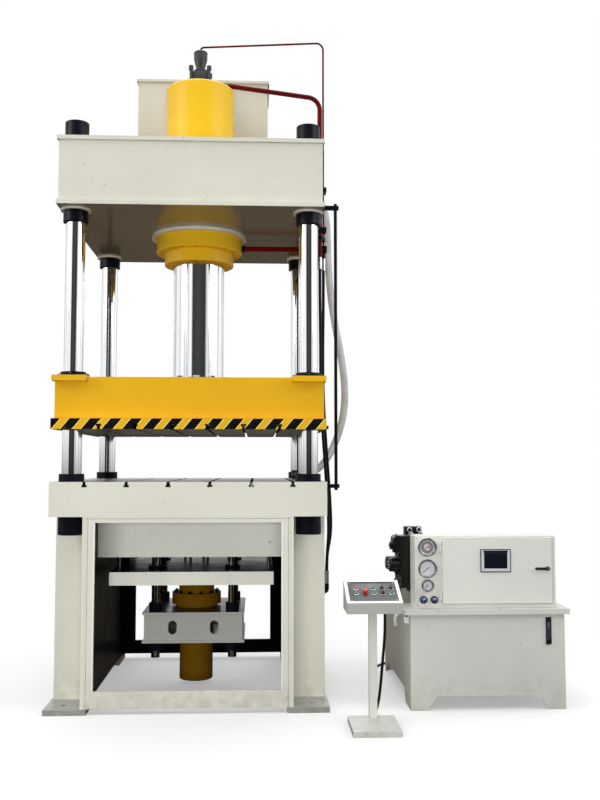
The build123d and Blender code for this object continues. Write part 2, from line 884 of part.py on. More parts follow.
# Folded lid of the top tank
with BuildPart() as top_tank_lid:
    lid_width = top_tank_width + 2 * top_lid_overhang
    lid_depth = top_tank_depth + 2 * top_lid_overhang
    lid_top = tank_top_z + top_tank_wall
    with Locations((0, tank_middle_y, lid_top - top_lid_height)):
        Box(lid_width, lid_depth, top_lid_height, align=(Align.CENTER, Align.CENTER, Align.MIN))
    offset(amount=-top_tank_wall, openings=top_tank_lid.faces().sort_by(Axis.Z)[0])
write(top_tank_lid.part, "top_tank_lid")

# Dark red pipes: pilot line, pressure line and rod-side line
rod_port_x = (flange_diameter**2 / 4 - pilot_pipe_y**2)**0.5
rod_start_x = rod_port_x + union_length
tee_top = rod_pipe_z + tee_block / 2
pilot_line = pipe([(0, 0, valve_top), (0, 0, pilot_start_z), (pilot_pipe_x, pilot_pipe_y, pilot_end_z),
                   (pilot_pipe_x, pilot_pipe_y, tee_top)],
                  pilot_pipe_diameter, [pilot_start_bend, pilot_bend])
pressure_line = pipe([(pressure_port_x, pressure_pipe_y, cylinder_top + union_length / 2),
                      (pressure_port_x, pressure_pipe_y, pressure_start_z),
                      (pressure_pipe_x, pressure_pipe_y, pressure_end_z),
                      (pressure_pipe_x, pressure_pipe_y, pipe_bottom_z)],
                     pressure_pipe_diameter, [pressure_start_bend, pressure_bend])
with BuildPart() as oil_pipes:
    add(pilot_line)
    add(pressure_line)
    with BuildSketch(Plane(origin=(rod_start_x, pilot_pipe_y, rod_pipe_z), z_dir=(1, 0, 0))):
        Circle(rod_pipe_diameter / 2)
    extrude(amount=pilot_pipe_x - tee_block / 2 - rod_start_x)
write(oil_pipes.part, "oil_pipes")


def union_ring(pipe_diameter, z, place):
    """Union nut round a vertical pipe, centred at height z."""
    with BuildPart() as ring:
        with BuildSketch(bottom_plane(z - union_length / 2)):
            with Locations(place):
                RegularPolygon(pipe_diameter / 2 + union_wall, 6, major_radius=False)
                Circle(pipe_diameter / 2 + thread_gap, mode=Mode.SUBTRACT)
        extrude(amount=union_length)
    return ring.part


pressure_place = (pressure_pipe_x, pressure_pipe_y)
pilot_place = (pilot_pipe_x, pilot_pipe_y)

# Black unions, clamps and the tee of the oil pipes, and the elbows under the two hoses
ferrule_bottom = pipe_bottom_z - ferrule_length
hose_top_z = ferrule_bottom + ferrule_overlap
lower_ferrule_bottom = hose_port_z + hose_port_rise
hose_end_z = lower_ferrule_bottom + ferrule_length - ferrule_overlap
hose_ports = ((hose_port_x, pressure_pipe_y), (return_port_x, pressure_pipe_y + hose_port_pitch))
with BuildPart() as pipe_fittings:
    add(union_ring(pressure_pipe_diameter, pipe_union_z, pressure_place))
    add(union_ring(pilot_pipe_diameter, pipe_union_z, pilot_place))
    with Locations((pilot_pipe_x, pilot_pipe_y, rod_pipe_z)):
        Box(tee_block, tee_block, tee_block)
    with BuildSketch(bottom_plane(rod_pipe_z - tee_block / 2)):
        with Locations(pilot_place):
            Circle(ferrule_diameter / 2)
    extrude(amount=rod_pipe_z - tee_block / 2 - pipe_bottom_z, dir=(0, 0, -1))
    with Locations((pressure_port_x, pressure_pipe_y, cylinder_top)):
        Cylinder(pressure_pipe_diameter / 2 + union_wall, union_length / 2,
                 align=(Align.CENTER, Align.CENTER, Align.MIN))
    with Locations((rod_port_x, pilot_pipe_y, rod_pipe_z)):
        Cylinder(rod_pipe_diameter / 2 + union_wall, 2 * union_length, rotation=(0, 90, 0))
    with Locations((0, 0, rod_pipe_z)):
        Cylinder(flange_diameter / 2 + thread_gap, 4 * union_length, mode=Mode.SUBTRACT)
    for clamp_z in (upper_clamp_z, lower_clamp_z):
        clamp_start = crosshead_width / 2 - crosshead_web_inset
        clamp_end = pilot_pipe_x + pilot_pipe_diameter / 2 + clamp_wall
        clamp_front = pressure_pipe_y - pressure_pipe_diameter / 2 - clamp_wall
        clamp_back = pilot_pipe_y + pilot_pipe_diameter / 2 + clamp_wall
        with BuildSketch(bottom_plane(clamp_z)):
            with Locations(((clamp_start + clamp_end) / 2, (clamp_front + clamp_back) / 2)):
                RectangleRounded(clamp_end - clamp_start, clamp_back - clamp_front, clamp_wall / 2)
            with Locations(pressure_place):
                Circle(pressure_pipe_diameter / 2 + thread_gap, mode=Mode.SUBTRACT)
            with Locations(pilot_place):
                Circle(pilot_pipe_diameter / 2 + thread_gap, mode=Mode.SUBTRACT)
        extrude(amount=clamp_height)
    for low_x, low_y in hose_ports:
        add(pipe([(low_x, low_y, lower_ferrule_bottom), (low_x, low_y, hose_port_z),
                  (leg_outer_x, low_y, hose_port_z)], ferrule_diameter, elbow_bend))
        with Locations((leg_outer_x, low_y, hose_port_z)):
            Cylinder(ferrule_diameter / 2 + union_wall, union_length / 2, rotation=(0, 90, 0),
                     align=(Align.CENTER, Align.CENTER, Align.MIN))
write(pipe_fittings.part, "pipe_fittings")

# Two black hoses that hang beside the stand, from the pipes down to the stand's side ports
return_port_y = hose_ports[1][1]
pressure_hose_route = [
    (pressure_pipe_x, pressure_pipe_y, hose_top_z), (pressure_pipe_x, pressure_pipe_y, 3150),
    (1019, 31, 2800), (1017, 32, 2440), (1029, 31, 2100), (1052, 30, 1760), (1073, 29, 1450), (1082, 30, 1190),
    (hose_port_x, pressure_pipe_y, 1000), (hose_port_x, pressure_pipe_y, hose_end_z)]
return_hose_route = [
    (pilot_pipe_x, pilot_pipe_y, hose_top_z), (pilot_pipe_x, pilot_pipe_y, 3150), (1053, 92, 2800),
    (1053, 91, 2440), (1068, 92, 2100), (1092, 94, 1760), (1114, 96, 1450), (1121, 98, 1190),
    (return_port_x, return_port_y, 1000), (return_port_x, return_port_y, hose_end_z)]
cord_tube("pressure_hose", pressure_hose_route, hose_diameter)
cord_tube("return_hose", return_hose_route, hose_diameter)

# Grey drain hose from the top tank down to the bed
drain_start_x = top_tank_width / 2 + drain_port_length
nozzle_z = bed_top + nozzle_diameter / 2
drain_route = [
    (drain_start_x, drain_y, drain_port_z), (790, drain_y, drain_port_z), (960, drain_y, 4270),
    (1075, drain_y, 4190), (1126, drain_y, 4010), (1133, drain_y, 3650), (1156, drain_y, 3300),
    (1205, drain_y, 2990), (1262, drain_y, 2700), (1290, drain_y, 2420), (1272, drain_y, 2190),
    (1204, drain_y, 1972), (1116, drain_y, 1796), (985, drain_y, nozzle_z), (drain_end_x, drain_y, nozzle_z)]
cord_tube("drain_hose", drain_route, drain_diameter)

# Ferrules of the two hoses, and the drain hose's collar on the top tank and nozzle on the bed
with BuildPart() as hose_ends:
    for top_place, low_place in ((pressure_place, hose_ports[0]), (pilot_place, hose_ports[1])):
        for place, low_z, cut_z in ((top_place, ferrule_bottom, hose_top_z - ferrule_length),
                                    (low_place, lower_ferrule_bottom, hose_end_z)):
            with BuildSketch(bottom_plane(low_z)):
                with Locations(place):
                    Circle(ferrule_diameter / 2)
            extrude(amount=ferrule_length)
            with BuildSketch(bottom_plane(cut_z)):
                with Locations(place):
                    Circle(hose_diameter / 2 + hose_play)
            extrude(amount=ferrule_length, mode=Mode.SUBTRACT)
    with BuildSketch(Plane(origin=(top_tank_width / 2, drain_y, drain_port_z), z_dir=(1, 0, 0))):
        Circle(nozzle_diameter / 2)
    extrude(amount=drain_port_length)
    with BuildSketch(Plane(origin=(nozzle_right_x, drain_y, nozzle_z), z_dir=(-1, 0, 0))):
        Circle(nozzle_diameter / 2)
        Circle(drain_diameter / 2 + hose_play, mode=Mode.SUBTRACT)
    extrude(amount=nozzle_length)
write(hose_ends.part, "hose_ends")

# Switch rod beside the press with its two brackets
with BuildPart() as switch_rod:
    with BuildSketch(bottom_plane(switch_rod_bottom)):
        with Locations((switch_rod_x, switch_rod_y)):
            Circle(switch_rod_diameter / 2)
    extrude(amount=switch_rod_top - switch_rod_bottom)
    for seat_x, bracket_z in ((crosshead_width / 2 - crosshead_web_inset, rod_bracket_top_z),
                              (bed_width / 2, rod_bracket_bottom_z)):
        bracket_end = switch_rod_x + switch_rod_diameter
        with Locations(((seat_x + bracket_end) / 2, switch_rod_y, bracket_z)):
            Box(bracket_end - seat_x, rod_bracket_width, rod_bracket_height)
        with Locations((seat_x, switch_rod_y, bracket_z)):
            Box(rod_bracket_height / 3, 2 * rod_bracket_width, 2 * rod_bracket_height,
                align=(Align.MIN, Align.CENTER, Align.CENTER))
write(switch_rod.part, "switch_rod")

# Ejector box: two flange plates and four walls with hand holes, hung on the tie rods
with BuildPart() as ejector_box:
    with BuildSketch(bottom_plane(box_bottom)):
        Rectangle(box_flange_size, box_flange_size)
    extrude(amount=box_plate)
    with BuildSketch(bottom_plane(box_bottom)):
        Rectangle(box_size, box_size)
        Rectangle(box_size - 2 * box_plate, box_size - 2 * box_plate, mode=Mode.SUBTRACT)
        with tie_places:
            Circle(tie_rod_diameter / 2 + box_plate)
    extrude(amount=box_height)
    with BuildSketch(bottom_plane(box_top)):
        Rectangle(box_flange_size, box_flange_size)
    extrude(amount=-box_plate)
    with BuildSketch(bottom_plane(box_bottom)):
        Circle(ejector_cylinder_diameter / 2 + thread_gap)
        with tie_places:
            Circle(tie_rod_diameter / 2 + thread_gap)
    extrude(amount=box_height, mode=Mode.SUBTRACT)
    with BuildSketch(front_plane(-box_size / 2)):
        with Locations((0, box_bottom + box_height / 2)):
            with GridLocations(hand_hole_pitch, 0, 2, 1):
                SlotOverall(hand_hole_height, hand_hole_width, rotation=90)
    extrude(amount=-box_size, mode=Mode.SUBTRACT)
write(ejector_box.part, "ejector_box")

# Tie rods from the bed down to the ejector box, with a spigot in the bed
with BuildPart() as tie_rods:
    with BuildSketch(bottom_plane(tie_rod_bottom)):
        with tie_places:
            Circle(tie_rod_diameter / 2)
    extrude(amount=stand_height - tie_rod_bottom)
    with BuildSketch(bottom_plane(stand_height)):
        with tie_places:
            Circle(tie_spigot_diameter / 2)
    extrude(amount=tie_spigot_length)
write(tie_rods.part, "tie_rods")

# Ejector cylinder: closed body through the box, flange on top of it and neck
neck_top = ejector_plate_bottom - fit
with BuildPart() as ejector_cylinder:
    flange_top = ejector_flange_bottom + ejector_flange_height
    outer = ejector_cylinder_diameter / 2
    inner = ejector_bore / 2
    guide = ejector_rod_diameter / 2 + fit
    bore_top = flange_top
    with BuildSketch(Plane.XZ):
        with BuildLine():
            Polyline((0, ejector_cylinder_bottom), (outer, ejector_cylinder_bottom), (outer, box_top),
                     (ejector_flange_diameter / 2 - 30, box_top),
                     (ejector_flange_diameter / 2 - 30, ejector_flange_bottom),
                     (ejector_flange_diameter / 2, ejector_flange_bottom),
                     (ejector_flange_diameter / 2, flange_top), (ejector_neck_diameter / 2, flange_top),
                     (ejector_neck_diameter / 2, neck_top), (guide, neck_top), (guide, bore_top),
                     (inner, bore_top), (inner, ejector_cylinder_bottom + ejector_cap),
                     (0, ejector_cylinder_bottom + ejector_cap), (0, ejector_cylinder_bottom))
        make_face()
    revolve(axis=Axis.Z)
    fillet(ejector_cylinder.edges().filter_by(GeomType.CIRCLE).group_by(Axis.Z)[0], nut_chamfer)
write(ejector_cylinder.part, "ejector_cylinder")

# Ejector ram: rod under the ejector plate with its piston
with BuildPart() as ejector_ram:
    piston_z = bore_top - ejector_stroke - ejector_piston_height - 20
    with BuildSketch(bottom_plane(piston_z)):
        Circle(ejector_bore / 2 - fit)
    extrude(amount=ejector_piston_height)
    with BuildSketch(bottom_plane(piston_z)):
        Circle(ejector_rod_diameter / 2)
    extrude(amount=ejector_plate_bottom - piston_z)
write(ejector_ram.part, "ejector_ram")

# Ejector plate with guide bushes that slide on the tie rods
with BuildPart() as ejector_plate:
    with BuildSketch(bottom_plane(ejector_plate_bottom)):
        Rectangle(ejector_plate_size, ejector_plate_size)
    extrude(amount=ejector_plate_thickness)
    chamfer(ejector_plate.edges().filter_by(Axis.Z), nut_chamfer / 2)
    with BuildSketch(bottom_plane(ejector_plate_top)):
        with tie_places:
            Circle(ejector_bush_diameter / 2)
    extrude(amount=ejector_bush_rise)
    with BuildSketch(bottom_plane(ejector_plate_bottom)):
        with tie_places:
            Circle(tie_rod_diameter / 2 + fit)
    extrude(amount=ejector_plate_thickness + ejector_bush_rise, mode=Mode.SUBTRACT)
write(ejector_plate.part, "ejector_plate")

# Ejector pins that stand on the plate and pass through the bed
with BuildPart() as ejector_pins:
    with BuildSketch(bottom_plane(ejector_plate_top)):
        with Locations(*pin_places):
            Circle(pin_diameter / 2)
    extrude(amount=bed_top - slot_depth / 8 - ejector_plate_top)
write(ejector_pins.part, "ejector_pins")

# Console base plate with its post
with BuildPart() as console_stand:
    with Locations((console_x, console_base_back - console_base_depth / 2, 0)):
        Box(console_base_width, console_base_depth, console_base_thickness,
            align=(Align.CENTER, Align.CENTER, Align.MIN))
    fillet(console_stand.edges().filter_by(Axis.Z), nut_chamfer)
    with BuildSketch(bottom_plane(console_base_thickness)):
        with Locations((post_x, post_y)):
            RectangleRounded(post_size, post_size, post_wall)
            Rectangle(post_size - 2 * post_wall, post_size - 2 * post_wall, mode=Mode.SUBTRACT)
    extrude(amount=console_bottom - console_base_thickness)
write(console_stand.part, "console_stand")

# Console box: a hollow wedge whose top panel slopes to the front
console_back = console_front + console_depth
panel_front_z = console_bottom + console_front_height
panel_back_z = console_bottom + console_back_height
panel_plane = Plane(origin=(console_x, console_front, panel_front_z), x_dir=(1, 0, 0),
                    z_dir=(0, panel_front_z - panel_back_z, console_depth))
panel_length = (console_depth**2 + (panel_back_z - panel_front_z)**2)**0.5
control_rows = (panel_length / 2 - control_rows_apart / 2, panel_length / 2 + control_rows_apart / 2)
control_columns = [control_offset + step * control_pitch for step in range(-2, 3)]
control_places = [(column, row) for row in control_rows for column in control_columns]
control_spots = dict(zip(control_layout, control_places))
with BuildPart() as console_box:
    with BuildSketch(Plane(origin=(console_x - console_width / 2, 0, 0), x_dir=(0, 1, 0), z_dir=(1, 0, 0))):
        with BuildLine():
            Polyline((console_front, console_bottom), (console_back, console_bottom),
                     (console_back, panel_back_z), (console_front, panel_front_z), close=True)
        make_face()
    extrude(amount=console_width)
    with BuildSketch(panel_plane):
        with Locations((0, panel_length / 2)):
            Rectangle(console_width - 2 * panel_margin, panel_length - 2 * panel_margin)
    extrude(amount=-panel_inset, mode=Mode.SUBTRACT)
    with BuildSketch(panel_plane.offset(-panel_inset)):
        with Locations(*control_places):
            Circle(button_stem_diameter / 2 + fit)
    extrude(amount=-button_stem_depth - button_travel - fit, mode=Mode.SUBTRACT)
    with BuildSketch(bottom_plane(console_bottom)):
        with Locations((cable_exit_x, cable_exit_y)):
            Circle(cable_gland_diameter / 2)
    extrude(amount=-gland_length)
    chamfer(console_box.edges().filter_by(GeomType.CIRCLE).group_by(Axis.Z)[0], nut_chamfer / 2)
write(console_box.part, "console_box")

panel_face = panel_plane.offset(-panel_inset)


def control_plane(spot, height):
    """Plane parallel to the panel at one control, a height above the panel's face."""
    return Plane(origin=(panel_face * Location((*spot, height))).position,
                 x_dir=panel_face.x_dir, z_dir=panel_face.z_dir)


# Lamp and fixed bezels of the controls
with BuildPart() as control_bezels:
    with BuildSketch(panel_face):
        with Locations(*control_places):
            Circle(bezel_diameter / 2)
            Circle(button_diameter / 2 + fit, mode=Mode.SUBTRACT)
    extrude(amount=bezel_height)
    with BuildSketch(panel_face):
        with Locations(control_spots["lamp"]):
            Circle(lamp_diameter / 2)
    extrude(amount=lamp_height)
write(control_bezels.part, "control_bezels")


def push_button(spot, head_diameter, head_height, head_gap):
    """Button head on a stem; head_gap is the height of the head above the panel."""
    with BuildPart() as button:
        with BuildSketch(control_plane(spot, -button_stem_depth)):
            Circle(button_stem_diameter / 2)
        extrude(amount=button_stem_depth + head_gap)
        with BuildSketch(control_plane(spot, head_gap)):
            Circle(head_diameter / 2)
        extrude(amount=head_height, taper=6)
    return button.part


def selector(spot):
    """Rotary selector: round knob with a raised grip across it."""
    with BuildPart() as knob:
        with BuildSketch(control_plane(spot, -button_stem_depth)):
            Circle(button_stem_diameter / 2)
        extrude(amount=button_stem_depth + bezel_height + fit)
        with BuildSketch(control_plane(spot, bezel_height + fit)):
            Circle(selector_diameter / 2)
        extrude(amount=selector_height)
        with BuildSketch(control_plane(spot, bezel_height + fit + selector_height)):
            SlotOverall(selector_grip_length, selector_grip_width, rotation=90)
        extrude(amount=selector_grip_height)
    return knob.part


button_gap = button_travel + fit
mushroom_gap = bezel_height + button_travel + fit
for name, spot in control_spots.items():
    if name.startswith("green"):
        write(push_button(spot, button_diameter, button_height, button_gap), name)
    elif name == "stop_button":
        write(push_button(spot, mushroom_diameter, mushroom_height, mushroom_gap), name)
    elif name.startswith("selector"):
        write(selector(spot), name)

# Control cable from the console's gland down to the floor and back to the power unit's cabinet
cable_route = [
    (cable_exit_x, cable_exit_y, console_bottom - gland_length), (cable_exit_x, cable_exit_y, 610),
    (1364, -1246, 450), (1351, -1240, 300), (1340, -1225, 170), (1325, -1178, 62), (1314, -1080, 13),
    (1342, -860, 10.5), (1364, -600, 10.5), (1412, -330, 10.5), (1436, -60, 10.5), (1478, 200, 10.5),
    (1512, 420, 10.5), (1610, 560, 10.5), (1740, 575, 42), (1800, 520, 160), (1806, 476, 330),
    (1798, 468, 520), (1796, 450, 690), (1790, 365, 800), (1788, 220, 800), (1790, 80, 745), (1797, -110, 731.5),
    (1790, -330, 731.5), (1788, -500, 752), (cable_inlet_x, -600, cable_inlet_z),
    (cable_inlet_x, cable_inlet_y, cable_inlet_z)]
cord_tube("console_cable", cable_route, cable_diameter)

# Power unit's oil tank: walls down to the floor with cut-outs between the feet, and a floor plate
unit_middle = (unit_left + unit_width / 2, unit_front + unit_depth / 2)
with BuildPart() as oil_tank:
    with BuildSketch(Plane.XY):
        with Locations(unit_middle):
            Rectangle(unit_width, unit_depth)
            Rectangle(unit_width - 2 * unit_wall, unit_depth - 2 * unit_wall, mode=Mode.SUBTRACT)
    extrude(amount=unit_lid_top - unit_lid_sheet)
    with BuildSketch(bottom_plane(unit_floor_z)):
        with Locations(unit_middle):
            Rectangle(unit_width - unit_wall, unit_depth - unit_wall)
    extrude(amount=unit_wall)
    with BuildSketch(front_plane(unit_front)):
        with BuildLine():
            Polyline((unit_left + foot_length_front, 0),
                     (unit_left + foot_length_front + foot_slant, unit_floor_z),
                     (unit_right - foot_length_front - foot_slant, unit_floor_z),
                     (unit_right - foot_length_front, 0), close=True)
        make_face()
    extrude(amount=-unit_depth, mode=Mode.SUBTRACT)
    with BuildSketch(Plane(origin=(unit_left, 0, 0), x_dir=(0, 1, 0), z_dir=(1, 0, 0))):
        with BuildLine():
            Polyline((unit_front + side_foot_front, 0),
                     (unit_front + side_foot_front + foot_slant, unit_floor_z),
                     (unit_rear - side_foot_rear - foot_slant, unit_floor_z),
                     (unit_rear - side_foot_rear, 0), close=True)
        make_face()
    extrude(amount=unit_width, mode=Mode.SUBTRACT)
    for lug_y in lug_places_y:
        lug_start = (unit_left, lug_y, unit_height - lug_height)
        with BuildSketch(Plane(origin=lug_start, x_dir=(1, 0, 0), z_dir=(0, -1, 0))):
            with Locations((-lug_reach / 2, lug_height / 2)):
                RectangleRounded(lug_reach, lug_height, lug_reach / 4)
                Circle(lug_reach / 4, mode=Mode.SUBTRACT)
        extrude(amount=lug_thickness)
write(oil_tank.part, "oil_tank")

# Folded lid of the oil tank
with BuildPart() as oil_tank_lid:
    lid_left = unit_left - unit_lid_left_overhang
    lid_right = unit_right + unit_lid_overhang
    lid_middle = ((lid_left + lid_right) / 2, unit_middle[1])
    lid_outer_depth = unit_depth + 2 * unit_lid_overhang
    lid_bottom = unit_lid_top - unit_lid_height
    with BuildSketch(bottom_plane(lid_bottom)):
        with Locations(lid_middle):
            Rectangle(lid_right - lid_left, lid_outer_depth)
    extrude(amount=unit_lid_height)
    with BuildSketch(bottom_plane(lid_bottom - unit_lid_sheet)):
        with Locations(lid_middle):
            Rectangle(lid_right - lid_left - 2 * unit_lid_sheet, lid_outer_depth - 2 * unit_lid_sheet)
    extrude(amount=unit_lid_height, mode=Mode.SUBTRACT)
write(oil_tank_lid.part, "oil_tank_lid")

# Cabinet on the lid, open behind its door
cabinet_middle = (cabinet_left + cabinet_width / 2, cabinet_front + cabinet_depth / 2)
door_left = cabinet_left + door_left_inset
door_right = cabinet_left + cabinet_width - door_right_inset
door_bottom = unit_lid_top + door_bottom_inset
door_top = cabinet_top - door_top_inset
hinge_heights = (door_bottom + hinge_inset, door_top - hinge_inset)
knuckle = hinge_length / 3
door_back = cabinet_front - door_gap
hinge_y = door_back - hinge_diameter / 2
hinge_x = door_left - door_gap - hinge_diameter / 2
with BuildPart() as cabinet:
    with BuildSketch(bottom_plane(unit_lid_top)):
        with Locations(cabinet_middle):
            Rectangle(cabinet_width, cabinet_depth)
    extrude(amount=cabinet_height)
    with BuildSketch(bottom_plane(unit_lid_top + cabinet_sheet)):
        with Locations(cabinet_middle):
            Rectangle(cabinet_width - 2 * cabinet_sheet, cabinet_depth - 2 * cabinet_sheet)
    extrude(amount=cabinet_height - 2 * cabinet_sheet, mode=Mode.SUBTRACT)
    with BuildSketch(front_plane(cabinet_front)):
        with Locations(((door_left + door_right) / 2, (door_bottom + door_top) / 2)):
            Rectangle(door_right - door_left - 2 * door_frame, door_top - door_bottom - 2 * door_frame)
    extrude(amount=-cabinet_sheet, mode=Mode.SUBTRACT)
    for hinge_z in hinge_heights:
        with Locations((hinge_x, hinge_y, hinge_z)):
            Cylinder(hinge_pin_diameter / 2, hinge_length)
            with GridLocations(0, 0, 1, 1):
                for knuckle_side in (-1, 1):
                    with Locations((0, 0, knuckle_side * knuckle)):
                        Cylinder(hinge_diameter / 2, knuckle)
                    with Locations((0, (cabinet_front - hinge_y) / 2, knuckle_side * knuckle)):
                        Box(hinge_leaf, cabinet_front - hinge_y, knuckle)
    cabinet_back = cabinet_front + cabinet_depth
    with BuildSketch(Plane(origin=(cable_inlet_x, cabinet_back, cable_inlet_z), z_dir=(0, 1, 0))):
        Circle(cable_gland_diameter / 2)
    extrude(amount=gland_length)
write(cabinet.part, "cabinet")

# Cabinet door
with BuildPart() as cabinet_door:
    with BuildSketch(front_plane(door_back)):
        with Locations(((door_left + door_right) / 2, (door_bottom + door_top) / 2)):
            RectangleRounded(door_right - door_left, door_top - door_bottom, door_edge + 1)
    extrude(amount=door_thickness)
    fillet(cabinet_door.faces().sort_by(Axis.Y)[0].edges(), door_edge)
    for hinge_z in hinge_heights:
        leaf_reach = door_left + door_edge - hinge_x
        with Locations((hinge_x + leaf_reach / 2, hinge_y, hinge_z)):
            Box(leaf_reach, hinge_leaf, knuckle - 2 * fit)
        with Locations((hinge_x, hinge_y, hinge_z)):
            Cylinder(hinge_diameter / 2, knuckle - 2 * fit)
            Cylinder(hinge_pin_diameter / 2 + fit, knuckle, mode=Mode.SUBTRACT)
write(cabinet_door.part, "cabinet_door")

# Touch screen on the door
screen_face = door_back - door_thickness
with BuildPart() as touch_screen:
    with BuildSketch(front_plane(screen_face)):
        with Locations((screen_left + screen_width / 2, screen_bottom + screen_height / 2)):
            RectangleRounded(screen_width, screen_height, screen_corner)
    extrude(amount=screen_thickness)
    with BuildSketch(front_plane(screen_face - screen_thickness)):
        with Locations((screen_left + screen_width / 2, screen_bottom + screen_height / 2)):
            Rectangle(screen_width - 2 * screen_bezel, screen_height - 2 * screen_bezel)
    extrude(amount=-screen_recess, mode=Mode.SUBTRACT)
write(touch_screen.part, "touch_screen")

# Door latch: hub and handle in front of the door
with BuildPart() as door_latch:
    with BuildSketch(front_plane(screen_face - fit)):
        with Locations((latch_pivot_x, latch_z)):
            Circle(latch_height * 0.8)
    extrude(amount=latch_thickness)
    with BuildSketch(front_plane(screen_face - fit - latch_thickness)):
        with Locations((latch_pivot_x - latch_length / 2 + latch_height / 2, latch_z)):
            SlotOverall(latch_length, latch_height)
    extrude(amount=latch_thickness)
write(door_latch.part, "door_latch")

# Gauges beside the door: cases with a recessed dial, and needles on the dial's axis
gauge_list = (("upper", gauge_upper_z, large_gauge_diameter), ("middle", gauge_lower_z, large_gauge_diameter),
              ("lower", gauge_small_z, small_gauge_diameter))
with BuildPart() as gauge_cases:
    for gauge_name, gauge_z, gauge_diameter in gauge_list:
        with BuildSketch(front_plane(cabinet_front)):
            with Locations((gauge_x, gauge_z)):
                Circle(gauge_diameter / 2)
        extrude(amount=gauge_depth)
        with BuildSketch(front_plane(cabinet_front - gauge_depth)):
            with Locations((gauge_x, gauge_z)):
                Circle(gauge_diameter / 2 - gauge_rim)
        extrude(amount=-gauge_dial_recess, mode=Mode.SUBTRACT)
write(gauge_cases.part, "gauge_cases")
dial_y = cabinet_front - gauge_depth + gauge_dial_recess
for gauge_name, gauge_z, gauge_diameter in gauge_list:
    needle_length = gauge_diameter / 2 - gauge_rim - 8
    with BuildPart() as needle:
        with BuildSketch(front_plane(dial_y - fit)):
            with Locations((gauge_x, gauge_z)):
                Circle(needle_hub_diameter / 2)
        extrude(amount=needle_standoff + needle_thickness)
        with BuildSketch(front_plane(dial_y - fit - needle_standoff)):
            with Locations((gauge_x, gauge_z)):
                Trapezoid(needle_hub_diameter * 0.7, needle_length, 86,
                          rotation=needle_angles[gauge_name], align=(Align.CENTER, Align.MIN))
        extrude(amount=needle_thickness)
    write(needle.part, f"{gauge_name}_needle")

# Blue knobs of the gauge valves
for name, knob_x in (("left_gauge_knob", knob_left_x), ("right_gauge_knob", knob_right_x)):
    with BuildPart() as gauge_knob:
        with BuildSketch(front_plane(cabinet_front - fit)):
            with Locations((knob_x, knob_z)):
                Circle(knob_stem_diameter / 2)
        extrude(amount=knob_stem_length)
        with BuildSketch(front_plane(cabinet_front - fit - knob_stem_length)):
            with Locations((knob_x, knob_z)):
                Circle(knob_diameter / 2)
                with PolarLocations(knob_diameter / 2, 8):
                    Circle(knob_diameter / 12, mode=Mode.SUBTRACT)
        extrude(amount=knob_length)
    write(gauge_knob.part, name)

# Level gauge on the oil tank's front
with BuildPart() as level_gauge:
    with BuildSketch(front_plane(unit_front)):
        with Locations((level_x, level_bottom + level_height / 2)):
            RectangleRounded(level_width, level_height, level_corner)
    extrude(amount=level_thickness)
    with BuildSketch(front_plane(unit_front - level_thickness)):
        with Locations((level_x, level_bottom + level_height / 2)):
            SlotOverall(level_slot_length, level_slot_width, rotation=90)
    extrude(amount=-level_thickness / 3, mode=Mode.SUBTRACT)
write(level_gauge.part, "level_gauge")

# Valve manifold on the lid: two ports on its rear, round covers on its left, and on top a pilot block and a
# solenoid valve
manifold_middle = (manifold_left + manifold_width / 2, manifold_front + manifold_depth / 2)
manifold_bottom = unit_lid_top + manifold_foot
manifold_top = manifold_bottom + manifold_height
manifold_rear = manifold_front + manifold_depth
logic_middle = ((logic_left + manifold_left + manifold_width) / 2, manifold_front + logic_depth / 2)
coil_middle = (coil_block_left + coil_block_width / 2, manifold_rear - coil_block_depth / 2)
with BuildPart() as valve_manifold:
    with BuildSketch(bottom_plane(manifold_top)):
        with Locations(logic_middle):
            Rectangle(manifold_left + manifold_width - logic_left, logic_depth)
    extrude(amount=logic_height)
    fillet(valve_manifold.edges().filter_by(Axis.Y), logic_edge)
    with BuildSketch(bottom_plane(unit_lid_top)):
        with Locations(manifold_middle):
            Rectangle(manifold_width - 2 * manifold_foot_inset, manifold_depth - 2 * manifold_foot_inset)
    extrude(amount=manifold_foot)
    with BuildSketch(bottom_plane(manifold_bottom)):
        with Locations(manifold_middle):
            Rectangle(manifold_width, manifold_depth)
    extrude(amount=manifold_height)
    cover_middle = (manifold_left, manifold_middle[1], cover_z)
    with BuildSketch(Plane(origin=cover_middle, x_dir=(0, 1, 0), z_dir=(-1, 0, 0))):
        with GridLocations(cover_pitch_y, 0, 2, 1):
            Circle(cover_diameter / 2)
    extrude(amount=cover_reach)
    fillet(valve_manifold.edges().filter_by(GeomType.CIRCLE).group_by(Axis.X)[0], cover_edge)
    with BuildSketch(bottom_plane(manifold_top)):
        with Locations(coil_middle):
            Rectangle(coil_block_width, coil_block_depth)
    extrude(amount=coil_block_height)
    coil_z = manifold_top + coil_block_height + coil_diameter / 4
    with BuildSketch(front_plane(coil_middle[1] - coil_length / 2)):
        with Locations((coil_middle[0], coil_z)):
            with GridLocations(coil_pitch, 0, 2, 1):
                Circle(coil_diameter / 2)
    extrude(amount=-coil_length)
    with BuildSketch(Plane(origin=(manifold_middle[0], manifold_rear, (manifold_bottom + manifold_top) / 2),
                           x_dir=(0, 0, 1), z_dir=(0, 1, 0))):
        with GridLocations(port_pitch, 0, 2, 1):
            Circle(port_diameter / 2)
    extrude(amount=-port_depth, mode=Mode.SUBTRACT)
write(valve_manifold.part, "valve_manifold")

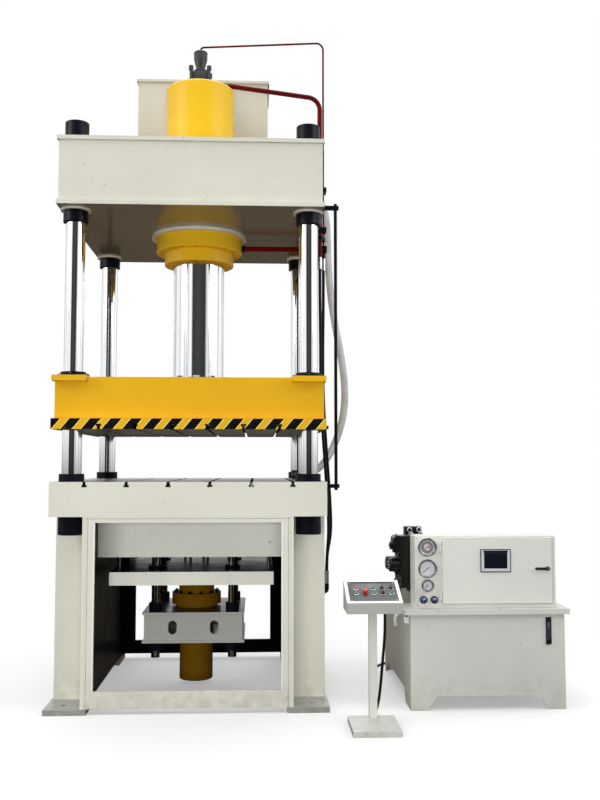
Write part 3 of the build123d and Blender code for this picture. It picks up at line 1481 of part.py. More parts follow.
# Electric motor on its feet, with cooling fins, fan cowl and terminal box
motor_z = unit_lid_top + motor_axis_height
with BuildPart() as motor:
    with BuildSketch(Plane(origin=(motor_x - motor_length / 2, motor_y, motor_z), z_dir=(1, 0, 0))):
        Circle(motor_diameter / 2 - motor_fin_height)
        with PolarLocations(motor_diameter / 2 - motor_fin_height, motor_fin_count):
            Rectangle(2 * motor_fin_height, motor_fin_width)
    extrude(amount=motor_length * 0.78)
    with BuildSketch(Plane(origin=(motor_x + motor_length * 0.28, motor_y, motor_z), z_dir=(1, 0, 0))):
        Circle(motor_diameter / 2 + 4)
    extrude(amount=motor_length * 0.22)
    with Locations((motor_x - motor_length * 0.1, motor_y, unit_lid_top)):
        Box(motor_length * 0.6, motor_diameter * 0.8, 16, align=(Align.CENTER, Align.CENTER, Align.MIN))
        with GridLocations(0, motor_diameter * 0.5, 1, 2):
            Box(motor_length * 0.5, 26, motor_axis_height - motor_diameter / 3,
                align=(Align.CENTER, Align.CENTER, Align.MIN))
    with Locations((motor_x, motor_y + motor_diameter / 2 + 20, motor_z + 20)):
        Box(terminal_box_width, terminal_box_depth, terminal_box_height)
write(motor.part, "motor")

# Gear pump with its bell housing on the motor's drive end
with BuildPart() as pump:
    with BuildSketch(Plane(origin=(motor_x - motor_length / 2, motor_y, motor_z), z_dir=(-1, 0, 0))):
        Circle(bell_diameter / 2)
    extrude(amount=bell_length / 4)
    with BuildSketch(Plane(origin=(motor_x - motor_length / 2, motor_y, motor_z), z_dir=(-1, 0, 0))):
        Circle(bell_diameter * 0.4)
    extrude(amount=bell_length)
    bell_start = (motor_x - motor_length / 2 - bell_length, motor_y, motor_z)
    with BuildSketch(Plane(origin=bell_start, z_dir=(-1, 0, 0))):
        RectangleRounded(pump_diameter * 0.8, pump_diameter, pump_diameter * 0.3)
    extrude(amount=pump_length)
write(pump.part, "pump")
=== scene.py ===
"""Looks of the four-column hydraulic press with its console and power unit, in metres."""

from itertools import product
from math import cos, pi, radians, sin

import bmesh
import bpy
from mathutils import Matrix, Vector


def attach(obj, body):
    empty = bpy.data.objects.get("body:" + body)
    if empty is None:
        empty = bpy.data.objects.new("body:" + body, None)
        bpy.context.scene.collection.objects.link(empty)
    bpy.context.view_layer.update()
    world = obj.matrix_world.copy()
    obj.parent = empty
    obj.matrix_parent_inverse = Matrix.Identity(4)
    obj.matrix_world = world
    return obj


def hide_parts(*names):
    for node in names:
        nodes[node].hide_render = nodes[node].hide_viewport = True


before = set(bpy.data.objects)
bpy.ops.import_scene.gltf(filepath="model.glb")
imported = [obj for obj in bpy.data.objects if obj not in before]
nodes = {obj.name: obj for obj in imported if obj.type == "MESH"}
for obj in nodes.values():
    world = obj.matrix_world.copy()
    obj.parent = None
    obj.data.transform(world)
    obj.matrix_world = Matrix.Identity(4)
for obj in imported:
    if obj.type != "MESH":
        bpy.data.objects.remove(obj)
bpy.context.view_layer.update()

FRONT = Vector((0, -1, 0))
BACK = -FRONT
UP = Vector((0, 0, 1))
DOWN = -UP
LEFT = Vector((-1, 0, 0))
RIGHT = -LEFT


def add_object(name, data):
    """A new object in the scene."""
    made = bpy.data.objects.new(name, data)
    bpy.context.scene.collection.objects.link(made)
    return made


# Camera of the photograph
CAMERA_PLACE = (0.485, -7.699, 1.77)
CAMERA_PITCH = 3.953                   # degrees above the horizon
CAMERA_YAW = 2.699                     # degrees to the right of +Y
CAMERA_LENS = 41.58                    # millimetres, on a 36 mm long side

camera_data = bpy.data.cameras.new("camera")
camera_data.lens = CAMERA_LENS
camera_data.sensor_width = 36
camera = add_object("camera", camera_data)
camera.location = CAMERA_PLACE
camera.rotation_euler = (radians(90 + CAMERA_PITCH), 0, radians(-CAMERA_YAW))
bpy.context.scene.camera = camera


# Materials


def feed(socket, value):
    """Links an output to a socket, or sets the socket to a number or a colour."""
    if isinstance(value, bpy.types.NodeSocket):
        socket.id_data.links.new(value, socket)
    else:
        socket.default_value = value


def add_node(tree, kind, inputs=None, **settings):
    """A shader node with settings, its inputs given as numbers or as outputs to link."""
    made = tree.nodes.new("ShaderNode" + kind)
    for key, value in settings.items():
        setattr(made, key, value)
    for key, value in (inputs or {}).items():
        feed(made.inputs[key], value)
    return made


class Graph:
    """Nodes of one material around its shader."""

    def __init__(self, name):
        self.material = bpy.data.materials.new(name)
        self.material.use_nodes = True
        self.tree = self.material.node_tree
        self.tree.nodes.clear()
        self.shader = self.node("BsdfPrincipled")
        self.output = self.node("OutputMaterial", {0: self.shader.outputs[0]})
        self.place = self.node("TexCoord").outputs["Object"]
        self.x, self.y, self.z = self.node("SeparateXYZ", {0: self.place}).outputs

    def node(self, kind, inputs=None, **settings):
        return add_node(self.tree, kind, inputs, **settings)

    def set(self, **inputs):
        """Sets or links the shader's own sockets, spaces in their names given as underscores."""
        for key, value in inputs.items():
            feed(self.shader.inputs[key.replace("_", " ")], value)

    def fed(self, name):
        """What feeds one of the shader's sockets."""
        return self.shader.inputs[name].links[0].from_socket

    def cover(self, mask, colour):
        """Paints another colour where the mask is 1."""
        self.set(Base_Color=self.mix(mask, self.fed("Base Color"), (*colour, 1)))

    def math(self, operation, first, second=0.0, third=0.0):
        made = self.node("Math", {0: first, 1: second, 2: third}, operation=operation)
        return made.outputs[0]

    def stretched(self, x, y, z):
        """The object's place scaled along each axis."""
        return self.node("VectorMath", {0: self.place, 1: (x, y, z)}, operation="MULTIPLY").outputs[0]

    def noise(self, scale, detail=3.0, vector=None):
        made = self.node("TexNoise", {"Vector": vector or self.place, "Scale": scale, "Detail": detail,
                                      "Roughness": 0.55})
        return made.outputs["Fac"]

    def spread(self, value, low, high, to_low=0.0, to_high=1.0):
        """Maps low..high to a new range, held at its ends."""
        return self.node("MapRange", {"Value": value, "From Min": low, "From Max": high,
                                      "To Min": to_low, "To Max": to_high}).outputs[0]

    def mix(self, share, first, second):
        """Blend of two colours, each an output or red, green, blue and alpha."""
        made = self.node("Mix", {0: share, 6: first, 7: second}, data_type="RGBA")
        return made.outputs[2]

    def both(self, first, second):
        """1 where both masks are 1."""
        return self.math("MULTIPLY", first, second)

    def above(self, value, limit):
        return self.math("GREATER_THAN", value, limit)

    def below(self, value, limit):
        return self.math("LESS_THAN", value, limit)

    def within(self, value, limit):
        """1 where a value lies between minus and plus the limit."""
        return self.below(self.math("ABSOLUTE", value), limit)

    def near(self, value, centre, reach):
        """1 where a value lies within reach of a centre."""
        return self.within(self.math("SUBTRACT", value, centre), reach)

    def bump(self, height, distance, strength=1.0, edge=0.0015):
        """Relief from a height in 0..1, on edges rounded by the given radius."""
        rounded = self.node("Bevel", {"Radius": edge}, samples=4).outputs[0]
        made = self.node("Bump", {"Height": height, "Distance": distance, "Strength": strength,
                                  "Normal": rounded})
        self.set(Normal=made.outputs[0])


PEEL_DEPTH = 0.0001                    # orange peel of sprayed enamel


def tone(colour, factor):
    """A colour made lighter or darker, with alpha."""
    return (*[min(channel * factor, 1.0) for channel in colour], 1.0)


def paint(name, colour, rough=0.34, variation=0.05, coat=0.25, specks=0.5, grime=(0.2, 0.17, 0.12),
          low_grime=0.0, waviness=0.0012, edge=0.003, gloss=0.4):
    """Brushed or sprayed machine enamel: cloudy tone, small chips, orange peel, slight waves."""
    graph = Graph(name)
    clouds = graph.spread(graph.noise(0.9, 4), 0.35, 0.65)
    body = graph.mix(clouds, tone(colour, 1 - variation), tone(colour, 1 + variation))
    smears = graph.spread(graph.noise(3.1, 6, graph.stretched(1, 1, 0.25)), 0.56, 0.74, 0, 0.22)
    body = graph.mix(smears, body, tone(colour, 0.86))
    chips = graph.spread(graph.noise(23, 5), 0.7, 0.735, 0, specks)
    body = graph.mix(chips, body, (*grime, 1))
    if low_grime:
        height = graph.spread(graph.z, 0.02, 0.32, low_grime, 0)
        dust = graph.both(height, graph.spread(graph.noise(14, 6), 0.35, 0.7))
        body = graph.mix(dust, body, (*grime, 1))
    peel = graph.noise(260, 2)
    waves = graph.math("MULTIPLY", graph.noise(2.3, 1), waviness / PEEL_DEPTH)
    graph.bump(graph.math("ADD", peel, waves), PEEL_DEPTH, edge=edge)
    sheen = graph.spread(graph.noise(5, 4), 0.3, 0.7, rough - 0.05, rough + 0.08)
    graph.set(Base_Color=body, Roughness=sheen, Coat_Weight=coat, Coat_Roughness=0.12,
              Specular_IOR_Level=gloss)
    return graph


def two_faced(name, colour, other, face, **settings):
    """Paint with another colour where face(graph) is 1."""
    graph = paint(name, colour, **settings)
    graph.cover(face(graph), other)
    return graph


def metal(name, colour, rough, grain=(1, 1, 1), depth=0.00003, scratches=0.1):
    """Bare metal with a fine grain drawn along the axes of small numbers in grain."""
    graph = Graph(name)
    lines = graph.noise(700, 2, graph.stretched(*grain))
    marks = graph.spread(graph.noise(4, 6), 0.4, 0.75, 0, scratches)
    graph.bump(lines, depth, edge=0.0012)
    graph.set(Base_Color=graph.mix(marks, (*colour, 1), tone(colour, 0.72)), Metallic=1.0,
              Roughness=graph.spread(graph.noise(9, 5), 0.3, 0.7, rough - 0.02, rough + 0.04))
    return graph


def plastic(name, colour, rough=0.3, coat=0.3):
    """Moulded plastic with a faint spark-eroded grain."""
    graph = Graph(name)
    clouds = graph.spread(graph.noise(60, 3), 0.3, 0.7)
    graph.bump(graph.noise(900, 2), 0.00004, edge=0.0006)
    graph.set(Base_Color=graph.mix(clouds, tone(colour, 0.93), tone(colour, 1.07)), Roughness=rough,
              Coat_Weight=coat, Coat_Roughness=0.06)
    return graph


CREAM = (0.7, 0.695, 0.6)
# Painted light: a paler, lit copy of the cream for the bed beam
LIT_BEAM_CREAM = (0.9, 0.895, 0.81)
# Painted light: a paler, lit copy of the cream for the ejector plate
LIT_PLATE_CREAM = (0.86, 0.855, 0.76)
# Painted shade: a darker, shaded copy of the cream for the top tank
SHADED_TANK_CREAM = (0.63, 0.605, 0.51)
UNIT_CREAM = (0.63, 0.635, 0.585)
CABINET_CREAM = (0.72, 0.725, 0.67)
# Painted highlight: a paler cream for the cabinet's left side, as if lit
LIT_SIDE_CREAM = (0.95, 0.95, 0.92)
# Painted shade: black for faces inside the stand and inside the bed's T-slots
SHADE_BLACK = (0.002, 0.002, 0.003)
OILY = (0.007, 0.007, 0.007)
SILVER = (0.86, 0.87, 0.89)

# Where a node's painted shade or painted highlight starts, each a hair off the face that it finds
BEAM_FACE = -0.4545
WALL_FACE = 0.7325
PLATE_TOP = 0.9565
BOX_TOP = 0.6192
CABINET_EDGE = 1.6475

chrome = metal("chrome", SILVER, 0.07, grain=(0.02, 0.02, 1), depth=0.000004, scratches=0.05)
ram_chrome = metal("ram_chrome", SILVER, 0.09, grain=(0.02, 0.02, 1), depth=0.000006)
steel = metal("bright_steel", (0.6, 0.6, 0.61), 0.28, depth=0.00002)
dark_steel = metal("dark_steel", (0.16, 0.165, 0.175), 0.38, depth=0.00005)
bronze = metal("bronze", (0.52, 0.33, 0.12), 0.32)
cream = paint("cream_paint", CREAM, low_grime=0.35)
# Painted light: the bed beam in a paler, lit cream, with painted shade, black, on its faces behind the front
lit_beam_cream_shaded_behind = two_faced("beam_lit_paint_shaded_behind", LIT_BEAM_CREAM, SHADE_BLACK, lambda graph: graph.above(
    graph.y, BEAM_FACE), coat=0.0, gloss=0.1)
# Painted shade: the side walls' inner faces are black
wall_cream_shaded_inside = two_faced("wall_paint_shaded_inside", CREAM, SHADE_BLACK, lambda graph: graph.within(
    graph.x, WALL_FACE), coat=0.0, gloss=0.05)
# Painted shade: the top tank in a darker, shaded cream
shaded_tank_cream = paint("tank_shaded_paint", SHADED_TANK_CREAM, rough=0.4, coat=0.1)
# Painted light: the ejector plate in a paler, lit cream, with painted shade, black, on its top
lit_plate_cream_shaded_top = two_faced("plate_lit_paint_shaded_top", LIT_PLATE_CREAM, SHADE_BLACK, lambda graph: graph.above(
    graph.z, PLATE_TOP), coat=0.0, gloss=0.15)
unit_cream = paint("unit_paint", UNIT_CREAM, rough=0.38, low_grime=0.25)
door_cream = paint("door_paint", CABINET_CREAM, rough=0.38)
# Painted highlight: the cabinet's left side is painted paler, as if lit
cabinet_cream_lit_side = two_faced("cabinet_paint_lit_side", CABINET_CREAM, LIT_SIDE_CREAM, lambda graph: graph.below(
    graph.x, CABINET_EDGE), rough=0.38)
# Painted shade: the ejector box is a greyer, shaded copy of the cream, near black on its top
shaded_box_grey = two_faced("ejector_box_shaded_paint", (0.46, 0.46, 0.43), (0.035, 0.035, 0.034), lambda graph: graph.above(
    graph.z, BOX_TOP), low_grime=0.1)
foot_paint = paint("foot_paint", (0.36, 0.365, 0.355), specks=0.8, variation=0.12, low_grime=0.5)
yellow = paint("cylinder_yellow", (0.82, 0.5, 0.015), coat=0.0, variation=0.04, specks=0.25, gloss=0.3)
mustard = paint("ejector_mustard", (0.17, 0.085, 0.003), rough=0.4, coat=0.0, variation=0.12, gloss=0.15)
black_enamel = paint("black_enamel", (0.004, 0.005, 0.009), rough=0.36, coat=0.0, variation=0.2,
                     grime=(0.05, 0.05, 0.06), gloss=0.14)
valve_grey = paint("valve_grey", (0.045, 0.049, 0.053), rough=0.34, coat=0.0, variation=0.15,
                   grime=(0.02, 0.02, 0.02), gloss=0.3)
oily_black = paint("oily_black", OILY, rough=0.26, coat=0.0, variation=0.3,
                   grime=(0.08, 0.07, 0.05), gloss=0.3)
motor_paint = paint("motor_paint", (0.1, 0.16, 0.22), rough=0.4, variation=0.1)
dark_red = paint("dark_red_paint", (0.1, 0.001, 0.002), rough=0.4, coat=0.0, variation=0.15,
                 grime=(0.03, 0.01, 0.01), gloss=0.12)
dark_chrome = metal("dark_chrome", (0.3, 0.3, 0.31), 0.14, depth=0.000005)
bright_trim = metal("bright_trim", (0.8, 0.8, 0.8), 0.2, depth=0.00001)
white_plastic = plastic("white_plastic", (0.6, 0.62, 0.66))
black_plastic = plastic("black_plastic", (0.012, 0.012, 0.013))
red_lens = plastic("red_lens", (0.5, 0.008, 0.012), rough=0.18, coat=0.8)
green_lens = plastic("green_lens", (0.006, 0.16, 0.075), rough=0.2, coat=0.8)
blue_plastic = plastic("blue_plastic", (0.006, 0.018, 0.1), rough=0.25, coat=0.2)
dial_white = plastic("dial_white", (0.62, 0.62, 0.68), rough=0.5, coat=0.0)
display_glass = plastic("display_glass", (0.006, 0.009, 0.016), rough=0.06, coat=1.0)
level_fluid = plastic("level_fluid", (0.055, 0.035, 0.075), rough=0.08, coat=1.0)
clear_glass = plastic("clear_glass", (0.9, 0.9, 0.9), rough=0.04, coat=0.5)
clear_glass.set(Alpha=0.12)
hose_rubber = paint("hose_rubber", (0.006, 0.006, 0.007), rough=0.45, coat=0.0, variation=0.2,
                    grime=(0.04, 0.04, 0.04), waviness=0.0004, gloss=0.15)


def steel_face(name, colour, is_steel, **settings):
    """Paint whose machined faces, where is_steel(graph) is 1, are bare steel."""
    graph = paint(name, colour, **settings)
    bare = is_steel(graph)
    lines = graph.noise(500, 2, graph.stretched(1, 0.01, 1))
    steel_tone = graph.mix(graph.spread(lines, 0.3, 0.7), (0.12, 0.115, 0.1, 1), (0.24, 0.23, 0.2, 1))
    graph.set(Base_Color=graph.mix(bare, graph.fed("Base Color"), steel_tone), Metallic=bare)
    return graph


# Stand's front and rear plates, the seams of the front frame and its opening's edge, which carries a painted
# highlight
PORTAL_FRONT = -0.9755
PORTAL_REAR = 0.9538                   # inner face of the rear plate
SEAM_X = 0.718
SEAM_Z = 1.3765
SEAM_HALF = 0.0014
RIM_X = 0.6725
RIM_HALF = 0.0035
RIM_MIDDLE = 0.755
RIM_HALF_HEIGHT = 0.594


def portal_enamel():
    """Cream enamel with painted shade, black, on the rear plate's inner face, the fine seams of the front
    frame, and a painted highlight on its opening's inner edge.
    """
    # Painted shade: black on the rear plate's inner face
    graph = two_faced("portal_paint_shade_highlight", CREAM, SHADE_BLACK, lambda graph: graph.near(
        graph.y, PORTAL_REAR, 0.002), low_grime=0.35, coat=0.0, gloss=0.15)
    side = graph.math("ABSOLUTE", graph.x)
    front = graph.below(graph.y, PORTAL_FRONT)
    # Painted highlight: a paler band along the inner edge of the front frame's opening
    rim = graph.both(graph.near(side, RIM_X, RIM_HALF), graph.near(graph.z, RIM_MIDDLE, RIM_HALF_HEIGHT))
    graph.cover(graph.both(front, rim), (0.9, 0.9, 0.86))
    seam = graph.math("MAXIMUM", graph.near(side, SEAM_X, SEAM_HALF), graph.near(graph.z, SEAM_Z, SEAM_HALF))
    graph.cover(graph.both(front, seam), (0.2, 0.195, 0.17))
    return graph


SUB_PLATE_TOP = 0.835


def manifold_paint():
    """Oily black over a painted sub-plate."""
    return two_faced("manifold_paint", OILY, (0.26, 0.255, 0.215), lambda graph: graph.below(
        graph.z, SUB_PLATE_TOP), rough=0.26, coat=0.0, variation=0.3, grime=(0.09, 0.085, 0.07),
        gloss=0.35)


BED_SLOT_PITCH = 0.3
BED_HALF_DEPTH = 0.9758                # inside the bed's painted front and back
SLOT_FLOOR = 1.6015
SLOT_MIDDLE = 1.62
SLOT_HALF_HEIGHT = 0.0188
SLOT_HALF_WIDTH = 0.0195


def bed_enamel():
    """Cream enamel, ground steel on top and T-slots half a pitch off the middle, painted black inside as
    shade.
    """
    graph = steel_face("bed_paint", CREAM, lambda graph: graph.both(
        graph.above(graph.z, SLOT_FLOOR), graph.within(graph.y, BED_HALF_DEPTH)))
    pitches = graph.math("ADD", graph.math("DIVIDE", graph.x, BED_SLOT_PITCH), 10.0)
    slot = graph.near(graph.math("FRACT", pitches), 0.5, SLOT_HALF_WIDTH / BED_SLOT_PITCH)
    deep = graph.near(graph.z, SLOT_MIDDLE, SLOT_HALF_HEIGHT)
    # Painted shade: black inside the T-slots
    graph.cover(graph.both(slot, graph.both(deep, graph.within(graph.y, BED_HALF_DEPTH))), SHADE_BLACK)
    return graph


CROSSHEAD_BOTTOM = 3.67


def crosshead_enamel():
    """Cream enamel with painted shade, dark brown-grey, on its underside, which is glossier."""
    def underside(graph):
        return graph.near(graph.z, CROSSHEAD_BOTTOM, 0.0006)

    # Painted shade: the underside is dark brown-grey
    graph = two_faced("crosshead_paint_shaded_underside", CREAM, (0.19, 0.175, 0.145), underside, rough=0.3)
    shine = graph.spread(underside(graph), 0, 1, 1, 0.6)
    graph.set(Roughness=graph.math("MULTIPLY", graph.fed("Roughness"), shine))
    return graph


CONSOLE_FRONT = -1.5
CONSOLE_SLOPE = 117 / 270
CONSOLE_LIP = 0.8445                   # height of the sloped rim at the console's front


def console_enamel():
    """Enamel with painted shade, grey, on the box, and a painted highlight, pale, on the sloped rim."""
    def rim(graph):
        depth = graph.math("SUBTRACT", graph.y, CONSOLE_FRONT)
        rise = graph.math("MULTIPLY", depth, CONSOLE_SLOPE)
        return graph.above(graph.math("SUBTRACT", graph.z, rise), CONSOLE_LIP)

    # Painted shade on the box's grey, painted highlight on its pale sloped rim
    return two_faced("console_paint_shade_highlight", (0.4, 0.4, 0.38), (0.86, 0.86, 0.84), rim)


def panel_speckle():
    """Dark grey hammered enamel with pale specks."""
    graph = paint("panel_grey", (0.085, 0.09, 0.088), rough=0.4, coat=0.0, variation=0.3, gloss=0.3)
    graph.cover(graph.spread(graph.noise(160, 2), 0.6, 0.68, 0, 0.35), (0.55, 0.55, 0.55))
    return graph


STRIPE_PITCH = 0.1467                  # along the platen's edge, one black and one yellow
STRIPE_SHIFT = 10.556                  # keeps the stripes' places positive, and sets their phase
STRIPE_LEAN = 0.83
STRIPE_EDGE = 0.27                     # half of a black stripe, as a share of the pitch
OUTLINE_EDGE = 0.32
EDGE_BLUR = 0.005
BAND_LOW = 2.0205
BAND_HIGH = 2.0975
PLATEN_SLOT_TOP = 2.0585
PLATEN_HALF_DEPTH = 0.9848


def platen_paint():
    """Yellow enamel, bare steel underneath, and a hazard band on the front of the bottom plate."""
    graph = steel_face("platen_paint", (0.76, 0.42, 0.012), lambda graph: graph.both(
        graph.below(graph.z, PLATEN_SLOT_TOP), graph.within(graph.y, PLATEN_HALF_DEPTH)),
        rough=0.36, coat=0.0, gloss=0.3)
    painted = graph.fed("Base Color")
    along = graph.math("SUBTRACT", graph.x, graph.math("MULTIPLY", graph.z, STRIPE_LEAN))
    phase = graph.math("FRACT", graph.math("DIVIDE", graph.math("ADD", along, STRIPE_SHIFT), STRIPE_PITCH))
    off_centre = graph.math("ABSOLUTE", graph.math("SUBTRACT", phase, 0.5))
    black = graph.spread(off_centre, STRIPE_EDGE + EDGE_BLUR, STRIPE_EDGE - EDGE_BLUR)
    outline = graph.both(graph.spread(off_centre, STRIPE_EDGE - EDGE_BLUR, STRIPE_EDGE + EDGE_BLUR),
                         graph.spread(off_centre, OUTLINE_EDGE + EDGE_BLUR, OUTLINE_EDGE - EDGE_BLUR))
    tape = graph.mix(outline, painted, (0.86, 0.72, 0.2, 1))
    worn = graph.spread(graph.noise(40, 5), 0.66, 0.76, 1, 0.8)
    tape = graph.mix(graph.both(black, worn), tape, (0.003, 0.003, 0.003, 1))
    band = graph.both(graph.above(graph.z, BAND_LOW), graph.below(graph.z, BAND_HIGH))
    front = graph.below(graph.y, -PLATEN_HALF_DEPTH)
    graph.set(Base_Color=graph.mix(graph.both(front, band), painted, tape))
    return graph


panel_grey = panel_speckle()
NODE_PAINT = (
    (foot_paint, "foot_plates"), (portal_enamel(), "portals"), (wall_cream_shaded_inside, "side_walls"),
    (cream, "leg_boxes"), (lit_beam_cream_shaded_behind, "bed_beam"), (bed_enamel(), "bed"), (crosshead_enamel(), "crosshead"),
    (platen_paint(), "slide"), (yellow, "main_cylinder gland"), (shaded_tank_cream, "top_tank top_tank_lid"),
    (valve_grey, "fill_valve"), (dark_red, "oil_pipes"), (ram_chrome, "ram"), (bronze, "guide_bushes"),
    (chrome, "columns tie_rods ejector_ram ejector_pins"),
    (black_enamel, "lock_nuts wiper_rings pipe_fittings switch_rod"),
    (steel, "hose_ends control_bezels gauge_cases level_gauge"), (dark_steel, "door_latch pump"),
    (shaded_box_grey, "ejector_box"), (mustard, "ejector_cylinder"), (lit_plate_cream_shaded_top, "ejector_plate"),
    (unit_cream, "console_stand oil_tank oil_tank_lid"), (console_enamel(), "console_box"),
    (cabinet_cream_lit_side, "cabinet"), (door_cream, "cabinet_door"), (manifold_paint(), "valve_manifold"),
    (motor_paint, "motor"), (white_plastic, "touch_screen"), (red_lens, "upper_needle stop_button"),
    (black_plastic, "middle_needle lower_needle selector_1 selector_2 selector_3"),
    (blue_plastic, "left_gauge_knob right_gauge_knob"),
    (green_lens, "green_button_1 green_button_2 green_button_3 green_button_4 green_button_5"),
)
for graph, names in NODE_PAINT:
    for node_name in names.split():
        mesh = nodes[node_name].data
        mesh.materials.clear()
        mesh.materials.append(graph.material)


# Hoses and the console's cable


def cord_line(name, points, diameter, graph):
    """A smooth cord on the route's points, as a NURBS curve."""
    curve = bpy.data.curves.new(name, "CURVE")
    curve.dimensions = "3D"
    curve.bevel_depth = diameter / 2
    curve.bevel_resolution = 6
    curve.use_fill_caps = True
    spline = curve.splines.new("NURBS")
    spline.points.add(len(points) - 1)
    for point, place in zip(spline.points, points):
        point.co = (*place, 1)
    spline.order_u = 3
    spline.use_endpoint_u = True
    spline.resolution_u = 10
    piece = add_object(name, curve)
    curve.materials.append(graph.material)
    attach(piece, "press")
    return piece


def ribbed_rubber():
    """Light grey suction hose with a spiral rib, which the mesh carries."""
    graph = Graph("grey_hose")
    clouds = graph.spread(graph.noise(7, 5), 0.3, 0.7)
    graph.bump(graph.noise(300, 2), 0.0001, edge=0.0005)
    graph.set(Base_Color=graph.mix(clouds, (0.52, 0.525, 0.53, 1), (0.68, 0.685, 0.69, 1)), Roughness=0.38,
              Coat_Weight=0.3, Coat_Roughness=0.15)
    return graph


def line_of(curve_piece):
    """Points along a curve's own line, read from it with no bevel."""
    depth = curve_piece.data.bevel_depth
    curve_piece.data.bevel_depth = 0
    bpy.context.view_layer.update()
    line = bpy.data.meshes.new_from_object(curve_piece)
    curve_piece.data.bevel_depth = depth
    return [vertex.co.copy() for vertex in line.vertices]


def evenly(points, step):
    """The same line with points a fixed step apart, ends kept."""
    spaced, left = [points[0]], step
    for start, end in zip(points, points[1:]):
        run = (end - start).length
        while run >= left:
            start = start.lerp(end, left / run)
            run = (end - start).length
            spaced.append(start)
            left = step
        left -= run
    spaced.append(points[-1])
    return spaced


def around(count, first=0.0):
    """The turns that divide a circle evenly, from the first one on."""
    return [first + 2 * pi * index / count for index in range(count)]


def frames_along(points, side):
    """Each point with two unit directions across the path there."""
    for index, point in enumerate(points):
        ahead = (points[min(index + 1, len(points) - 1)] - points[max(index - 1, 0)]).normalized()
        side = (side - ahead * side.dot(ahead)).normalized()
        yield point, side, ahead.cross(side)


def skin(bm, rings):
    """Faces between rings of points, and one on each end."""
    for one, two in zip(rings, rings[1:]):
        for corner in range(len(one)):
            after = (corner + 1) % len(one)
            bm.faces.new((one[corner], one[after], two[after], two[corner]))
    bm.faces.new(rings[0])
    bm.faces.new(rings[-1])


def spiral_hose(name, points, diameter, graph, rib_pitch=0.012, rib_depth=0.0022, sides=20):
    """A hose of one mesh along points, with a spiral rib around it."""
    bm = bmesh.new()
    rings = []
    travelled = 0.0
    before = points[0]
    for point, side, across in frames_along(points, FRONT):
        travelled += (point - before).length
        before = point
        ring = []
        for turn in around(sides):
            wave = 0.5 - 0.5 * cos(2 * pi * travelled / rib_pitch - turn)
            radius = diameter / 2 - rib_depth * wave**2
            ring.append(bm.verts.new(point + (side * cos(turn) + across * sin(turn)) * radius))
        rings.append(ring)
    skin(bm, rings)
    return mesh_piece(name, bm, graph)


def mesh_piece(name, bm, graph, body="press", sharp=32):
    """Turns a bmesh into a piece that rides on a body, smooth below the sharp angle."""
    bmesh.ops.recalc_face_normals(bm, faces=bm.faces)
    mesh = bpy.data.meshes.new(name)
    bm.to_mesh(mesh)
    bm.free()
    mesh.shade_smooth()
    mesh.set_sharp_from_angle(angle=radians(sharp))
    mesh.materials.append(graph.material)
    piece = add_object(name, mesh)
    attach(piece, body)
    return piece


PRESSURE_HOSE = [
    (1.018, 0.03, 3.45), (1.018, 0.03, 3.15), (1.023, 0.031, 2.8), (1.023, 0.032, 2.44),
    (1.036, 0.031, 2.1), (1.06, 0.03, 1.76), (1.081, 0.029, 1.45), (1.09, 0.03, 1.19),
    (1.072, 0.03, 1.0), (1.072, 0.03, 0.852)]
RETURN_HOSE = [
    (1.052, 0.09, 3.45), (1.052, 0.09, 3.15), (1.047, 0.092, 2.8), (1.047, 0.091, 2.44),
    (1.061, 0.092, 2.1), (1.085, 0.094, 1.76), (1.107, 0.096, 1.45), (1.115, 0.098, 1.19),
    (1.075, 0.102, 1.0), (1.075, 0.102, 0.852)]
DRAIN_HOSE = [
    (0.642, 0.64, 4.262), (0.79, 0.64, 4.262), (0.96, 0.64, 4.27), (1.075, 0.64, 4.19),
    (1.126, 0.64, 4.01), (1.133, 0.64, 3.65), (1.156, 0.64, 3.3), (1.205, 0.64, 2.99),
    (1.262, 0.64, 2.7), (1.29, 0.64, 2.42), (1.272, 0.64, 2.19), (1.204, 0.64, 1.972),
    (1.116, 0.64, 1.796), (0.985, 0.64, 1.677), (0.812, 0.64, 1.677)]
CONSOLE_CABLE = [
    (1.378, -1.25, 0.749), (1.378, -1.25, 0.61), (1.364, -1.246, 0.45), (1.351, -1.24, 0.3),
    (1.34, -1.225, 0.17), (1.325, -1.178, 0.062), (1.314, -1.08, 0.013), (1.342, -0.86, 0.0105),
    (1.364, -0.6, 0.0105), (1.412, -0.33, 0.0105), (1.436, -0.06, 0.0105), (1.478, 0.2, 0.0105),
    (1.512, 0.42, 0.0105), (1.61, 0.56, 0.0105), (1.74, 0.575, 0.042), (1.8, 0.52, 0.16),
    (1.806, 0.476, 0.33), (1.798, 0.468, 0.52), (1.796, 0.45, 0.69), (1.79, 0.365, 0.8),
    (1.788, 0.22, 0.8), (1.79, 0.08, 0.745), (1.797, -0.11, 0.7315), (1.79, -0.33, 0.7315),
    (1.788, -0.5, 0.752), (1.786, -0.6, 0.83), (1.786, -0.696, 0.83)]
HOSE_DIAMETER = 0.026
DRAIN_DIAMETER = 0.066
HOSE_STEP = 0.003                      # between the rings of the drain hose's mesh


def lay_cords():
    """The free hoses and the cable, each in place of its plain tube."""
    for name, route, diameter, length, stiffness, lay in (
            ("pressure_hose", PRESSURE_HOSE, HOSE_DIAMETER, 2.6, "stiff", "hanging"),
            ("return_hose", RETURN_HOSE, HOSE_DIAMETER, 2.6, "stiff", "hanging"),
            ("console_cable", CONSOLE_CABLE, 0.02, 4.5, "medium", "loose")):
        cord = cord_line(f"{name}_line", route, diameter, hose_rubber)
        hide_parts(name)
    guide = cord_line("drain_guide", DRAIN_HOSE, DRAIN_DIAMETER, hose_rubber)
    path = line_of(guide)
    bpy.data.objects.remove(guide)
    hose = spiral_hose("drain_hose_line", evenly(path, HOSE_STEP), DRAIN_DIAMETER, ribbed_rubber())
    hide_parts("drain_hose")


lay_cords()


# Forms for the details


